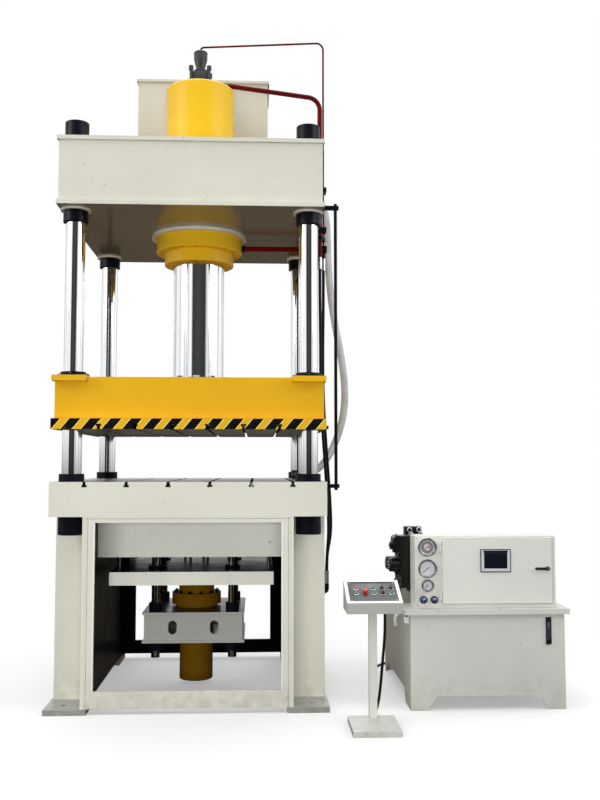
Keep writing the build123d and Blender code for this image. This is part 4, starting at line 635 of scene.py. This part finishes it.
def basis(axis):
    """Unit axis and two unit directions across it."""
    axis = Vector(axis).normalized()
    side = axis.cross(RIGHT if abs(axis.z) > 0.9 else UP).normalized()
    return axis, side, axis.cross(side)


def lathe(bm, place, axis, profile, sides=32, ring=False):
    """A turned form from (radius, height) pairs in mm: a closed ring, or else capped at both ends."""
    axis, side, across = basis(axis)
    loops = []
    for radius, height in profile:
        centre = Vector(place) + axis * height / 1000
        loops.append([bm.verts.new(centre + (side * cos(turn) + across * sin(turn)) * radius / 1000)
                      for turn in around(sides if radius else 1)])
    pairs = list(zip(loops, loops[1:])) + ([(loops[-1], loops[0])] if ring else [])
    for one, two in pairs:
        for corner in range(sides):
            after = (corner + 1) % sides
            corners = (one[corner % len(one)], one[after % len(one)], two[after % len(two)],
                       two[corner % len(two)])
            bm.faces.new(list(dict.fromkeys(corners)))
    if not ring:
        for loop in (loops[0], loops[-1]):
            if len(loop) > 1:
                bm.faces.new(loop)


def slab(bm, low, high, edge=0.001, turn=None):
    """A plate between two corners with rounded edges, turned about the origin by a matrix if given."""
    low, high = Vector(low), Vector(high)
    size = high - low
    matrix = Matrix.Translation((low + high) / 2) @ Matrix.Diagonal((*size, 1))
    if turn:
        matrix = turn @ matrix
    made = bmesh.ops.create_cube(bm, size=1, matrix=matrix)
    edges = list({line for vertex in made["verts"] for line in vertex.link_edges})
    bmesh.ops.bevel(bm, geom=edges, offset=edge, segments=2, affect="EDGES", profile=0.7)


def rod(bm, points, radius, sides=16):
    """A round rod along points, in metres."""
    points = [Vector(point) for point in points]
    first_side = basis(points[1] - points[0])[1]
    skin(bm, [[bm.verts.new(point + (side * cos(turn) + across * sin(turn)) * radius)
               for turn in around(sides)] for point, side, across in frames_along(points, first_side)])


def spun(place, turn, axis):
    """A turn about an axis, and then a move to a place."""
    return Matrix.Translation(place) @ Matrix.Rotation(turn, 4, axis)


def rounded_path(points, reach, steps=6):
    """The same path with each corner rounded from a reach before it to a reach after it."""
    points = [Vector(point) for point in points]
    path = [points[0]]
    for before, corner, after in zip(points, points[1:], points[2:]):
        start = corner + (before - corner).normalized() * reach
        end = corner + (after - corner).normalized() * reach
        for step in range(steps + 1):
            share = step / steps
            path.append(start * (1 - share)**2 + corner * 2 * share * (1 - share) + end * share**2)
    path.append(points[-1])
    return path


def socket_screw(bm, place, axis, diameter, height):
    """Cap screw standing on a face, its sizes in mm, with a socket in its head."""
    radius = diameter / 2
    lathe(bm, place, axis, [
        (0, 0), (radius * 0.97, 0), (radius, height * 0.06), (radius, height * 0.86),
        (radius * 0.9, height), (radius * 0.56, height), (radius * 0.52, height * 0.94),
        (radius * 0.52, height * 0.4), (0, height * 0.32)], sides=18)


def hex_screw(bm, place, axis, across_flats, height, washer=True):
    """Hexagon screw head on a washer, in mm."""
    radius = across_flats * 0.577
    foot = 0.0
    if washer:
        foot = height * 0.22
        lathe(bm, place, axis, [
            (0, 0), (radius * 1.18, 0), (radius * 1.22, foot * 0.3), (radius * 1.22, foot * 0.8),
            (radius * 1.16, foot), (0, foot)], sides=24)
    lathe(bm, place, axis, [
        (0, foot), (radius, foot), (radius, foot + height * 0.82), (radius * 0.88, foot + height),
        (0, foot + height)], sides=6)


def detail(graph, body="press", sharp=32, name=None):
    """Decorator: builds a piece from a function that fills a bmesh, and names it after the function."""
    def build(fill):
        bm = bmesh.new()
        fill(bm)
        return mesh_piece(name or fill.__name__, bm, graph, body, sharp)
    return build


def circle_places(count, diameter, z, first=0.0):
    """Points round the press's axis, with the diameter in mm."""
    radius = diameter / 2000
    return [(radius * cos(turn), radius * sin(turn), z) for turn in around(count, first)]


# Press: screws, the slots' stops and the fill valve's block

COLUMN_X = 0.872
COLUMN_Y = 0.81
WIPER_SCREW = 0.106                    # from the column's axis
WIPER_TOP = 2.43
CYLINDER_CIRCLES = ((642, 3.534), (500, 3.432))      # diameter in mm and face: flange, gland
EJECTOR_CIRCLE = 342
EJECTOR_FLANGE_TOP = 0.729
CYLINDER_TOP = 5.002
VALVE_FLANGE_TOP = 5.106
SLOT_STOP_FRONT = 0.96
SLOT_STOP_REAR = 0.974


@detail(black_enamel)
def cylinder_screws(bm):
    for diameter, face in CYLINDER_CIRCLES:
        for place in circle_places(16, diameter, face):
            socket_screw(bm, place, DOWN, 26, 11)


@detail(dark_steel, "slide")
def slide_screws(bm):
    """Screws of the four wiper rings."""
    sides = ((1, 0), (-1, 0), (0, 1), (0, -1))
    for x, y, (dx, dy) in product((-COLUMN_X, COLUMN_X), (-COLUMN_Y, COLUMN_Y), sides):
        socket_screw(bm, (x + dx * WIPER_SCREW, y + dy * WIPER_SCREW, WIPER_TOP), UP, 12, 7)


@detail(black_enamel)
def ejector_screws(bm):
    for place in circle_places(12, EJECTOR_CIRCLE, EJECTOR_FLANGE_TOP, pi / 12):
        hex_screw(bm, place, UP, 24, 15)


@detail(valve_grey)
def fill_valve_block(bm):
    """Square body between the fill valve's bolts."""
    slab(bm, (-0.066, -0.066, CYLINDER_TOP), (0.066, 0.066, CYLINDER_TOP + 0.082), 0.005)
    slab(bm, (-0.05, -0.07, CYLINDER_TOP + 0.008), (0.05, 0.07, CYLINDER_TOP + 0.074), 0.003)


@detail(black_enamel)
def slot_stops(bm):
    """Stops in the rear ends of the bed's T-slots."""
    for index, (half_width, low) in product(range(6), ((0.017, 1.6025), (0.01, 1.6205))):
        x = BED_SLOT_PITCH * (index - 2.5)
        slab(bm, (x - half_width, SLOT_STOP_FRONT, low), (x + half_width, SLOT_STOP_REAR, low + 0.018),
             0.0008)


@detail(oily_black)
def fill_valve_screws(bm):
    for turn in around(8, pi / 8):
        socket_screw(bm, (0.052 * cos(turn), 0.052 * sin(turn), VALVE_FLANGE_TOP), UP, 11, 9)
    lathe(bm, (0, 0, 5.2585), UP, [
        (58, 0), (60, 1.5), (60, 6), (58.4, 8), (57.5, 8), (57.5, 0)], sides=48, ring=True)


# Power unit: gauges, knobs, screen, level gauge

GAUGES = {"upper": (1.165, 66), "middle": (1.011, 66), "lower": (0.89, 43)}
DIAL_RADIUS = {"upper": 50, "middle": 51, "lower": 31}
DIAL_SWEEP = 270
GAUGE_X = 1.729
CASE_FRONT = -0.98
DIAL = -0.968


def dial_turn(share):
    """Angle of a place on a dial's scale, which is open at the bottom."""
    return radians(90 + DIAL_SWEEP / 2 - DIAL_SWEEP * share)


def dial_marks(bm, z, radius, count, long_every):
    """Scale ticks of a dial."""
    for index in range(count + 1):
        is_long = index % long_every == 0
        inner = radius * (0.8 if is_long else 0.87)
        width = 0.0008 if is_long else 0.0004
        slab(bm, (inner, -0.00015, -width), (radius * 0.93, 0.00015, width), 0.00005,
             spun((GAUGE_X, DIAL - 0.0005, z), -dial_turn(index / count), "Y"))


def dial_numbers(bm, z, radius, labels, height):
    """Plain numbers round a dial."""
    for index, label in enumerate(labels):
        turn = dial_turn(index / (len(labels) - 1))
        text = bpy.data.curves.new("number", "FONT")
        text.body = label
        text.size = height
        text.align_x = text.align_y = "CENTER"
        writing = bpy.data.objects.new("number", text)
        flat = bpy.data.meshes.new_from_object(writing)
        place = (GAUGE_X + radius * cos(turn), DIAL - 0.0006, z + radius * sin(turn))
        flat.transform(spun(place, pi / 2, "X"))
        bm.from_mesh(flat)
        bpy.data.objects.remove(writing)


@detail(dark_chrome, sharp=50)
def gauge_bezels(bm):
    for z, radius in GAUGES.values():
        lathe(bm, (GAUGE_X, CASE_FRONT, z), FRONT, [
            (radius + 0.4, -9), (radius + 1.6, -6), (radius + 1.8, -1), (radius + 0.6, 2.2),
            (radius - 2.5, 3.6), (radius - 5.5, 3.0), (radius - 7.4, 0.8), (radius - 8, -3),
            (radius - 8.2, -9)], sides=64, ring=True)


@detail(dark_chrome, sharp=50)
def gauge_inner_rings(bm):
    for name, (z, radius) in GAUGES.items():
        inner = DIAL_RADIUS[name]
        lathe(bm, (GAUGE_X, DIAL, z), FRONT, [
            (radius - 8.3, 0.4), (radius - 8.3, 8), (radius - 9.6, 8), (inner + 1, 4.6),
            (inner, 3.9), (inner, 0.4)], sides=64, ring=True)
    lathe(bm, (GAUGE_X, DIAL, GAUGES["upper"][0]), FRONT, [
        (24, 0.2), (24, 0.8), (46, 0.8), (46, 0.2)], sides=64, ring=True)


@detail(dial_white)
def gauge_dials(bm):
    for z, radius in GAUGES.values():
        lathe(bm, (GAUGE_X, DIAL - 0.0001, z), FRONT, [
            (0, 0), (radius - 8.4, 0), (radius - 8.4, 0.25), (0, 0.25)], sides=64)


@detail(black_plastic)
def gauge_scales(bm):
    for name, reach, count, long_every, ring, labels, height in (
            ("upper", 0.0235, 40, 8, 0.016, "0 10 20 30 40", 0.005),
            ("middle", 0.05, 50, 10, 0.0315, "0 5 10 15 20 25", 0.0095),
            ("lower", 0.03, 30, 6, 0.0185, "0 4 8 12 16", 0.006)):
        z = GAUGES[name][0]
        dial_marks(bm, z, reach, count, long_every)
        dial_numbers(bm, z, ring, labels.split(), height)


@detail(red_lens)
def gauge_red_pointer(bm):
    """Adjustable limit flag of the upper gauge."""
    z = GAUGES["upper"][0]
    slab(bm, (GAUGE_X + 0.007, DIAL - 0.0014, z - 0.009), (GAUGE_X + 0.02, DIAL, z + 0.014), 0.0004)


@detail(black_plastic, "middle_needle")
def middle_needle_hub(bm):
    """Broad tail and cap of the middle needle, in line with it."""
    z = GAUGES["middle"][0]
    slab(bm, (-0.012, -0.0006, -0.003), (0.02, 0.0006, 0.003), 0.0003,
         spun((GAUGE_X, DIAL - 0.0046, z), radians(-37), "Y"))
    lathe(bm, (GAUGE_X, DIAL - 0.0036, z), FRONT, [
        (0, 0), (5.5, 0), (5.5, 1.6), (4.5, 2.2), (0, 2.2)], sides=24)


@detail(clear_glass)
def gauge_glass(bm):
    for z, radius in GAUGES.values():
        lathe(bm, (GAUGE_X, CASE_FRONT, z), FRONT, [
            (0, -2.4), (radius - 8.1, -2.4), (radius - 8.1, -0.6), (radius * 0.6, -0.2), (0, 0)], sides=48)


KNOB_Z = 0.788
KNOB_BACK = -0.96
KNOB_FACE = -0.9943

for knob_name, knob_x in (("left_gauge_knob", 1.696), ("right_gauge_knob", 1.774)):
    @detail(steel, knob_name, sharp=50, name=f"{knob_name}_cap")
    def knob_cap(bm):
        lathe(bm, (knob_x, KNOB_FACE, KNOB_Z), FRONT, [
            (0, 0), (13.5, 0), (13.8, 0.8), (12.6, 2.2), (8, 3.2), (3.2, 3.4), (2.6, 2.4), (0, 2.4)],
            sides=40)

    @detail(blue_plastic, knob_name, sharp=60, name=f"{knob_name}_lobes")
    def knob_lobes(bm):
        """Eight rounded lobes over the knob's edge, and its face."""
        for turn in around(8, pi / 8):
            place = (knob_x + 0.0203 * cos(turn), KNOB_BACK, KNOB_Z + 0.0203 * sin(turn))
            lathe(bm, place, FRONT, [
                (0, 0), (5.6, 0), (6.9, 2.5), (6.9, 29), (5.6, 32.5), (0, 33.6)], sides=20)
        lathe(bm, (knob_x, KNOB_BACK, KNOB_Z), FRONT, [
            (0, 30), (23.5, 30), (22, 33.6), (17, 34.9), (0, 34.9)], sides=40)


CABINET_FRONT = -0.94
SCREEN_LOW = Vector((2.126, -0.961, 0.988))
SCREEN_HIGH = SCREEN_LOW + Vector((0.212, 0, 0.155))


@detail(black_enamel, "door")
def screen_gasket(bm):
    """Dark seal round the screen's frame."""
    x0, y, z0 = SCREEN_LOW
    x1, _, z1 = SCREEN_HIGH
    rim = 0.006
    for left, low, right, high in ((x0 - rim, z0 - 0.007, x1 + rim, z0), (x0 - rim, z1, x1 + rim, z1 + rim),
                                   (x0 - rim, z0, x0, z1), (x1, z0, x1 + rim, z1)):
        slab(bm, (left, y - 0.0065, low), (right, y, high), 0.0012)


@detail(display_glass, "door")
def screen_display(bm):
    x0, y, z0 = SCREEN_LOW
    x1, _, z1 = SCREEN_HIGH
    slab(bm, (x0 + 0.0205, y - 0.0072, z0 + 0.0205), (x1 - 0.0205, y - 0.0058, z1 - 0.0205), 0.0003)
    slab(bm, (x0 + 0.0165, y - 0.0086, z1 - 0.02), (x1 - 0.0165, y - 0.0079, z1 - 0.004), 0.0003)


@detail(unit_cream)
def door_seal_lip(bm):
    """Rolled lip of the cabinet round the door, and the return of its top sheet."""
    left, right, low, top = 1.8405, 2.6535, 0.7515, 1.2205
    front = CABINET_FRONT - 0.008
    back = CABINET_FRONT + 0.0002
    slab(bm, (left, front, top), (right + 0.012, back, top + 0.0085), 0.0025)
    slab(bm, (left, front, low - 0.0085), (right + 0.012, back, low), 0.0025)
    slab(bm, (right, front, low), (right + 0.012, back, top), 0.0025)
    slab(bm, (1.6452, CABINET_FRONT - 0.0025, 0.7225), (2.6798, back, 0.7345), 0.001)


@detail(steel)
def cabinet_fasteners(bm):
    for x, z in product((1.662, 2.668), (0.742, 1.226)):
        lathe(bm, (x, CABINET_FRONT, z), FRONT, [
            (0, 0), (5.5, 0), (5.2, 1.6), (3, 2.6), (0, 2.8)], sides=20)


@detail(unit_cream, sharp=50)
def hinge_caps(bm):
    for z, end in product((0.755 + 0.054, 1.217 - 0.054), (-1, 1)):
        lathe(bm, (1.83, -0.951, z + end * 0.033), UP * end, [
            (0, 0), (8, 0), (8, 2), (5.5, 4.6), (0, 5.4)], sides=24)


@detail(steel, "latch")
def latch_lock(bm):
    lathe(bm, (2.616, -0.9813, 1.006), FRONT, [
        (0, 0), (7.2, 0), (7.2, 1.6), (6.2, 2.4), (0, 2.4)], sides=28)


LEVEL_X = 2.606
LEVEL_Z = 0.563


@detail(level_fluid, sharp=50)
def level_tube(bm):
    lathe(bm, (LEVEL_X, -0.9905, LEVEL_Z - 0.064), UP, [
        (0, 0), (7.2, 0), (8.4, 2), (8.4, 126), (7.2, 128), (0, 128)], sides=28)


@detail(black_enamel)
def level_trim(bm):
    """Black end caps and the two screws of the level gauge."""
    for end in (-1, 1):
        middle = LEVEL_Z + end * 0.0715
        slab(bm, (LEVEL_X - 0.0125, -0.9985, middle - 0.0075), (LEVEL_X + 0.0125, -0.9925, middle + 0.0075),
             0.0012)
        hex_screw(bm, (LEVEL_X, -0.993, LEVEL_Z + end * 0.0885), FRONT, 12, 5, washer=False)


@detail(unit_cream, sharp=50)
def lifting_hooks(bm):
    """A bent hook and a flat one under the lid's left edge."""
    path = rounded_path([(1.59, -0.8, 0.688), (1.55, -0.8, 0.672), (1.521, -0.8, 0.648),
                         (1.513, -0.8, 0.612), (1.522, -0.8, 0.576)], 0.018)
    rod(bm, path, 0.0125)
    slab(bm, (1.5515, -0.991, 0.622), (1.5885, -0.9755, 0.6965), 0.006)
    slab(bm, (1.5515, -0.991, 0.668), (1.604, -0.9755, 0.6965), 0.003)


# Power unit: valves, motor and pump

COVER_Y = (-0.605, -0.445)             # the two round valve covers
COVER_X = 1.498
VALVE_LEFT = 1.582
VALVE_FRONT = -0.69
COIL_X = (1.69, 1.766)
COIL_ENDS = ((-0.495, FRONT), (-0.345, BACK))
COIL_Z = 1.2205


@detail(steel)
def valve_screws(bm):
    """Screws of the valve covers, pilot block and solenoid valve."""
    for y, turn in product(COVER_Y, around(6)):
        socket_screw(bm, (COVER_X, y + 0.027 * cos(turn), 1.0 + 0.027 * sin(turn)), LEFT, 11, 6)
    for x, y in product((1.566, 1.69), (-0.668, -0.562)):
        socket_screw(bm, (x, y, 1.225), UP, 14, 9)
    for x, y in product((1.668, 1.788), (-0.462, -0.368)):
        socket_screw(bm, (x, y, 1.211), UP, 10, 8)


@detail(oily_black)
def valve_tower(bm):
    """The pilot solenoids' housing above the valve block."""
    slab(bm, (1.648, -0.478, 1.195), (1.777, -0.376, 1.28), 0.004)
    slab(bm, (1.656, -0.484, 1.216), (1.769, -0.478, 1.272), 0.002)


TOWER_COILS = ((1.68, 1.257), (1.753, 1.26))
TOWER_FRONT = -0.484


@detail(white_plastic, sharp=50)
def valve_tower_rings(bm):
    """Pale rings round the two coil ends."""
    for x, z in TOWER_COILS:
        lathe(bm, (x, TOWER_FRONT, z), FRONT, [
            (13, 0), (19.5, 0), (19.5, 14), (17.5, 16.5), (13, 16.5)], sides=36, ring=True)


@detail(oily_black, sharp=50)
def valve_tower_cores(bm):
    for x, z in TOWER_COILS:
        lathe(bm, (x, TOWER_FRONT, z), FRONT, [(0, 0), (13.2, 0), (13.2, 19), (10, 22), (0, 22)], sides=30)


@detail(oily_black)
def valve_plugs(bm):
    """Hexagon plugs, cartridge caps and adjusting spindles of the valve block."""
    for z in (0.83, 0.93, 1.075):
        hex_screw(bm, (VALVE_LEFT, -0.64, z), LEFT, 27, 14)
    for z in (0.83, 0.93, 1.05):
        hex_screw(bm, (1.64, VALVE_FRONT, z), FRONT, 27, 12)
    for z in (0.86, 0.93):
        hex_screw(bm, (VALVE_LEFT, -0.52, z), LEFT, 32, 16)
        hex_screw(bm, (VALVE_LEFT, -0.41, z), LEFT, 24, 12)
    for y in COVER_Y:
        lathe(bm, (COVER_X + 0.0005, y, 1.0), LEFT, [
            (0, -20), (20, -20), (20, -0.5), (17, 1.3), (0, 1.4)], sides=24)
    lathe(bm, (1.524, -0.615, 1.15), LEFT, [
        (0, -8), (32, -8), (32, 2), (32, 14), (28, 18), (14, 20), (12, 24), (0, 25)], sides=28)
    lathe(bm, (1.56, -0.615, 1.222), UP, [(0, 0), (16, 0), (16, 8), (9, 10), (0, 10)], sides=24)
    slab(bm, (1.59, -0.5, 1.1), (1.65, -0.38, 1.16), 0.008)
    slab(bm, (1.54, -0.545, 1.085), (1.583, -0.5, 1.15), 0.01)


@detail(white_plastic, sharp=50)
def coil_caps(bm):
    """Pale end rings of the two solenoids."""
    for x, (y, out) in product(COIL_X, COIL_ENDS):
        lathe(bm, (x, y, COIL_Z), out, [
            (19.5, -6), (21, -5), (21, 4), (19, 6.5), (13, 6.5), (11.5, 4), (11.5, -6)],
            sides=36, ring=True)


@detail(black_plastic)
def coil_nuts(bm):
    """Nuts on the solenoids, and their plugs."""
    for x, (y, out) in product(COIL_X, COIL_ENDS):
        hex_screw(bm, (x, y, COIL_Z), out, 19, 9, washer=False)
    for y in (-0.475, -0.395):
        slab(bm, (1.708, y, 1.205), (1.748, y + 0.03, 1.238), 0.004)


MOTOR_Y = -0.15
MOTOR_Z = 0.936
MOTOR_REAR = 2.54                      # where the fan cowl starts
MOTOR_EYE_X = 2.28
MOTOR_FLANGE_X = 2.0195
PUMP_X = 1.815
TANK_PORT_X = 1.84


@detail(dark_steel, sharp=50)
def unit_pipes(bm):
    """Steel pipes between the pump, the valve block and the tank."""
    pressure = [(PUMP_X, MOTOR_Y, 1.02), (PUMP_X, MOTOR_Y, 1.135), (1.76, -0.25, 1.135),
                (1.7, -0.33, 1.06), (1.7, -0.362, 1.06)]
    suction = [(TANK_PORT_X, -0.075, MOTOR_Z), (TANK_PORT_X, 0.12, MOTOR_Z), (TANK_PORT_X, 0.12, 0.716)]
    for path, radius in ((pressure, 0.015), (suction, 0.019)):
        rod(bm, rounded_path(path, 0.035), radius)


@detail(black_enamel)
def unit_unions(bm):
    for place, axis, size in (((PUMP_X, MOTOR_Y, 1.02), UP, 41), ((1.7, -0.36, 1.06), BACK, 41),
                              ((TANK_PORT_X, -0.066, MOTOR_Z), BACK, 50),
                              ((TANK_PORT_X, 0.12, 0.7205), UP, 55)):
        hex_screw(bm, place, axis, size, 26)


@detail(motor_paint, sharp=50)
def fan_cowl(bm):
    """Motor's fan cowl: a pressed cup with a ring grille."""
    grille = MOTOR_REAR + 0.055
    lathe(bm, (MOTOR_REAR, MOTOR_Y, MOTOR_Z), RIGHT, [
        (0, -6), (150, -6), (158, -2), (158, 38), (150, 52), (120, 58), (118, 54), (0, 54)], sides=64)
    for radius in (30, 50, 70, 90, 110):
        lathe(bm, (grille, MOTOR_Y, MOTOR_Z), RIGHT, [
            (radius, 0), (radius + 5, 0), (radius + 5, 4), (radius, 4)], sides=48, ring=True)
    for turn in around(6):
        slab(bm, (0, -0.003, 0.012), (0.005, 0.003, 0.119), 0.001,
             spun((grille, MOTOR_Y, MOTOR_Z), turn, "X"))


@detail(steel, sharp=50)
def motor_details(bm):
    """Eye bolt and flange bolts of the motor."""
    eye = [(MOTOR_EYE_X, MOTOR_Y + 0.02 * sin(turn), 1.1285 - 0.02 * cos(turn))
           for turn in (*around(24), 2 * pi)]
    rod(bm, eye, 0.006)
    lathe(bm, (MOTOR_EYE_X, MOTOR_Y, 1.094), UP, [(0, 0), (14, 0), (14, 6), (9, 12), (0, 12)], sides=24)
    for turn in around(8, pi / 8):
        place = (MOTOR_FLANGE_X, MOTOR_Y + 0.147 * cos(turn), MOTOR_Z + 0.147 * sin(turn))
        hex_screw(bm, place, LEFT, 15, 8)


# Console: panel, lamp and screws

PANEL_TILT = 0.4089
# The panel's own frame: x to the right, y up the slope, z out of it
PANEL = spun((1.279, CONSOLE_FRONT, 0.846), PANEL_TILT, "X")
PANEL_OUT = (0, -0.3976, 0.9176)
CONTROL_X = (1.165, 1.225, 1.285, 1.345, 1.405)
CONTROL_ROWS = ((-1.3923, 0.8894), (-1.3354, 0.9141))
LAMP = (CONTROL_X[0], *CONTROL_ROWS[1])
STOP_BUTTON = (CONTROL_X[1], CONTROL_ROWS[0][0])


@detail(panel_grey)
def console_panel(bm):
    """Painted sheet in the console's recess."""
    slab(bm, (-0.1615, 0.0265, -0.0029), (0.1615, 0.2678, -0.0019), 0.0004, PANEL)


@detail(black_plastic)
def console_panel_edge(bm):
    """Dark rubber round the panel."""
    for low, high in (((-0.1638, 0.0242), (0.1638, 0.0264)), ((-0.1638, 0.2679), (0.1638, 0.2701)),
                      ((-0.1638, 0.0264), (-0.1616, 0.2679)), ((0.1616, 0.0264), (0.1638, 0.2679))):
        slab(bm, (*low, -0.0029), (*high, 0.0012), 0.0004, PANEL)


@detail(steel)
def console_screws(bm):
    for x, y in product((-0.151, 0.151), (0.038, 0.255)):
        lathe(bm, PANEL @ Vector((x, y, -0.002)), PANEL_OUT, [
            (0, 0), (4.5, 0), (4.2, 1.2), (2.4, 2), (0, 2.1)], sides=20)


@detail(red_lens, sharp=50)
def lamp_lens(bm):
    """Domed lens of the lamp, first in the panel's back row."""
    lathe(bm, LAMP, PANEL_OUT, [
        (0, 4), (12.4, 4), (12.4, 10), (11.4, 14.5), (8, 18), (4, 19.6), (0, 20)])


@detail(bright_trim, sharp=50)
def control_collars(bm):
    """Bright front rings round the controls, apart from the stop button."""
    for x, (y, z) in product(CONTROL_X, CONTROL_ROWS):
        if (x, y) != STOP_BUTTON:
            lathe(bm, (x, y, z), PANEL_OUT, [
                (13.5, 4.6), (17.2, 4.6), (17.2, 5.6), (15.5, 6.8), (13.5, 6.8)], sides=36, ring=True)


# Floor, world and lights

WHITE = (1, 1, 1, 1)


def add_floor():
    """A wide pale floor that turns to plain white away from the press, and doesn't tint the undersides."""
    bm = bmesh.new()
    bmesh.ops.create_circle(bm, cap_ends=True, radius=60, segments=96)
    mesh = bpy.data.meshes.new("floor")
    bm.to_mesh(mesh)
    bm.free()
    graph = Graph("floor")
    clouds = graph.spread(graph.noise(0.4, 3), 0.3, 0.7)
    graph.set(Base_Color=graph.mix(clouds, (0.9, 0.9, 0.9, 1), (0.92, 0.92, 0.92, 1)), Roughness=0.7)
    away = graph.node("VectorMath", {0: graph.place, 1: (0.8, 0.0, 0.0)}, operation="DISTANCE")
    rays = graph.node("LightPath")
    seen = graph.math("MAXIMUM", rays.outputs["Is Camera Ray"], rays.outputs["Is Transmission Ray"])
    white = graph.node("Emission", {0: WHITE, 1: 1.0})
    far = graph.both(seen, graph.spread(away.outputs["Value"], 1.8, 5.5, 0.35, 1))
    blend = graph.node("MixShader", {0: far, 1: graph.shader.outputs[0], 2: white.outputs[0]})
    feed(graph.output.inputs[0], blend.outputs[0])
    mesh.materials.append(graph.material)
    floor = add_object("floor", mesh)
    floor.visible_diffuse = False
    floor.visible_glossy = False


# The hall that metal reflects: places round it, from the back by the left and front, and their greys
HALL_WALLS = (
    (0.0, 0.9), (0.1, 1.0), (0.16, 0.55), (0.18, 1.1), (0.24, 1.1), (0.25, 0.6), (0.27, 1.2),
    (0.315, 1.2), (0.325, 0.45), (0.34, 1.2), (0.37, 1.2), (0.38, 0.5), (0.39, 1.2), (0.418, 1.2),
    (0.43, 0.045), (0.5, 0.07), (0.592, 0.04), (0.607, 0.9), (0.63, 1.0), (0.64, 0.6), (0.66, 1.2),
    (0.86, 1.2), (0.9, 0.5), (0.94, 0.9), (1.0, 0.9))
# Its greys and browns from straight down to straight up
HALL_HEIGHTS = (
    (0.0, (0.1, 0.085, 0.065, 1)), (0.44, (0.14, 0.12, 0.095, 1)), (0.485, (0.2, 0.18, 0.15, 1)),
    (0.515, 1.0), (0.7, 1.0), (0.78, 1.25), (1.0, 1.35))


def add_world():
    """A bright hall with a dark end behind the camera; the camera itself sees plain white."""
    world = bpy.data.worlds.new("hall")
    bpy.context.scene.world = world
    world.use_nodes = True
    tree = world.node_tree
    tree.nodes.clear()

    def ramp(value, stops):
        made = add_node(tree, "ValToRGB", {0: value})
        elements = made.color_ramp.elements
        while len(elements) < len(stops):
            elements.new(0.5)
        for element, (place, grey) in zip(elements, stops):
            element.position = place
            element.color = grey if isinstance(grey, tuple) else (grey, grey, grey, 1)
        return made.outputs[0]

    def share(value, low, high):
        return add_node(tree, "MapRange", {"Value": value, "From Min": low, "From Max": high}).outputs[0]

    direction = add_node(tree, "SeparateXYZ", {0: add_node(tree, "TexCoord").outputs["Generated"]})
    across = add_node(tree, "Math", {0: direction.outputs["Y"], 1: -1.0}, operation="MULTIPLY")
    azimuth = add_node(tree, "Math", {0: direction.outputs["X"], 1: across.outputs[0]}, operation="ARCTAN2")
    walls = ramp(share(azimuth.outputs[0], -pi, pi), HALL_WALLS)
    dome = ramp(share(direction.outputs["Z"], -1, 1), HALL_HEIGHTS)
    upper = share(direction.outputs["Z"], 0.42, 0.55)
    walls_only = add_node(tree, "Mix", {0: upper, 6: walls, 7: WHITE}, data_type="RGBA")
    shaded = add_node(tree, "Mix", {0: 1, 6: dome, 7: walls_only.outputs[2]}, data_type="RGBA",
                      blend_type="MULTIPLY")
    rays = add_node(tree, "LightPath").outputs
    strength = add_node(tree, "MapRange", {"Value": rays["Is Glossy Ray"], "To Min": 0.46, "To Max": 0.95})
    hall = add_node(tree, "Background", {0: shaded.outputs[2], 1: strength.outputs[0]})
    air = add_node(tree, "Background", {0: WHITE, 1: 1.0})
    seen = add_node(tree, "Math", {0: rays["Is Camera Ray"], 1: rays["Is Transmission Ray"]},
                    operation="MAXIMUM")
    blend = add_node(tree, "MixShader", {0: seen.outputs[0], 1: hall.outputs[0], 2: air.outputs[0]})
    add_node(tree, "OutputWorld", {0: blend.outputs[0]})


def add_light(name, place, target, size, power, colour=(1, 1, 1)):
    """A rectangular lamp that looks from a place at a target."""
    light = bpy.data.lights.new(name, "AREA")
    light.shape = "RECTANGLE"
    light.size, light.size_y = size
    light.energy = power
    light.color = colour
    lamp = add_object(name, light)
    lamp.location = place
    lamp.rotation_euler = (Vector(target) - Vector(place)).to_track_quat("-Z", "Y").to_euler()
    return lamp


add_floor()
add_world()
add_light("key", (-8.5, -4.5, 6.5), (0.0, 0, 2.2), (5, 4), 330, (1.0, 0.985, 0.96))
add_light("fill", (8.5, -4.5, 6.0), (0.8, 0, 1.8), (5, 4), 260, (0.96, 0.98, 1.0))
add_light("low", (-0.6, -9.0, 1.4), (-0.2, 0, 1.6), (5, 1.8), 400).visible_glossy = False
add_light("top", (0.5, -0.5, 10.5), (0.5, 0, 0), (7, 7), 450)
add_light("back", (0.5, 8.5, 7.5), (0.5, 0, 2.5), (7, 4), 260)

bpy.context.scene.view_settings.view_transform = "Standard"
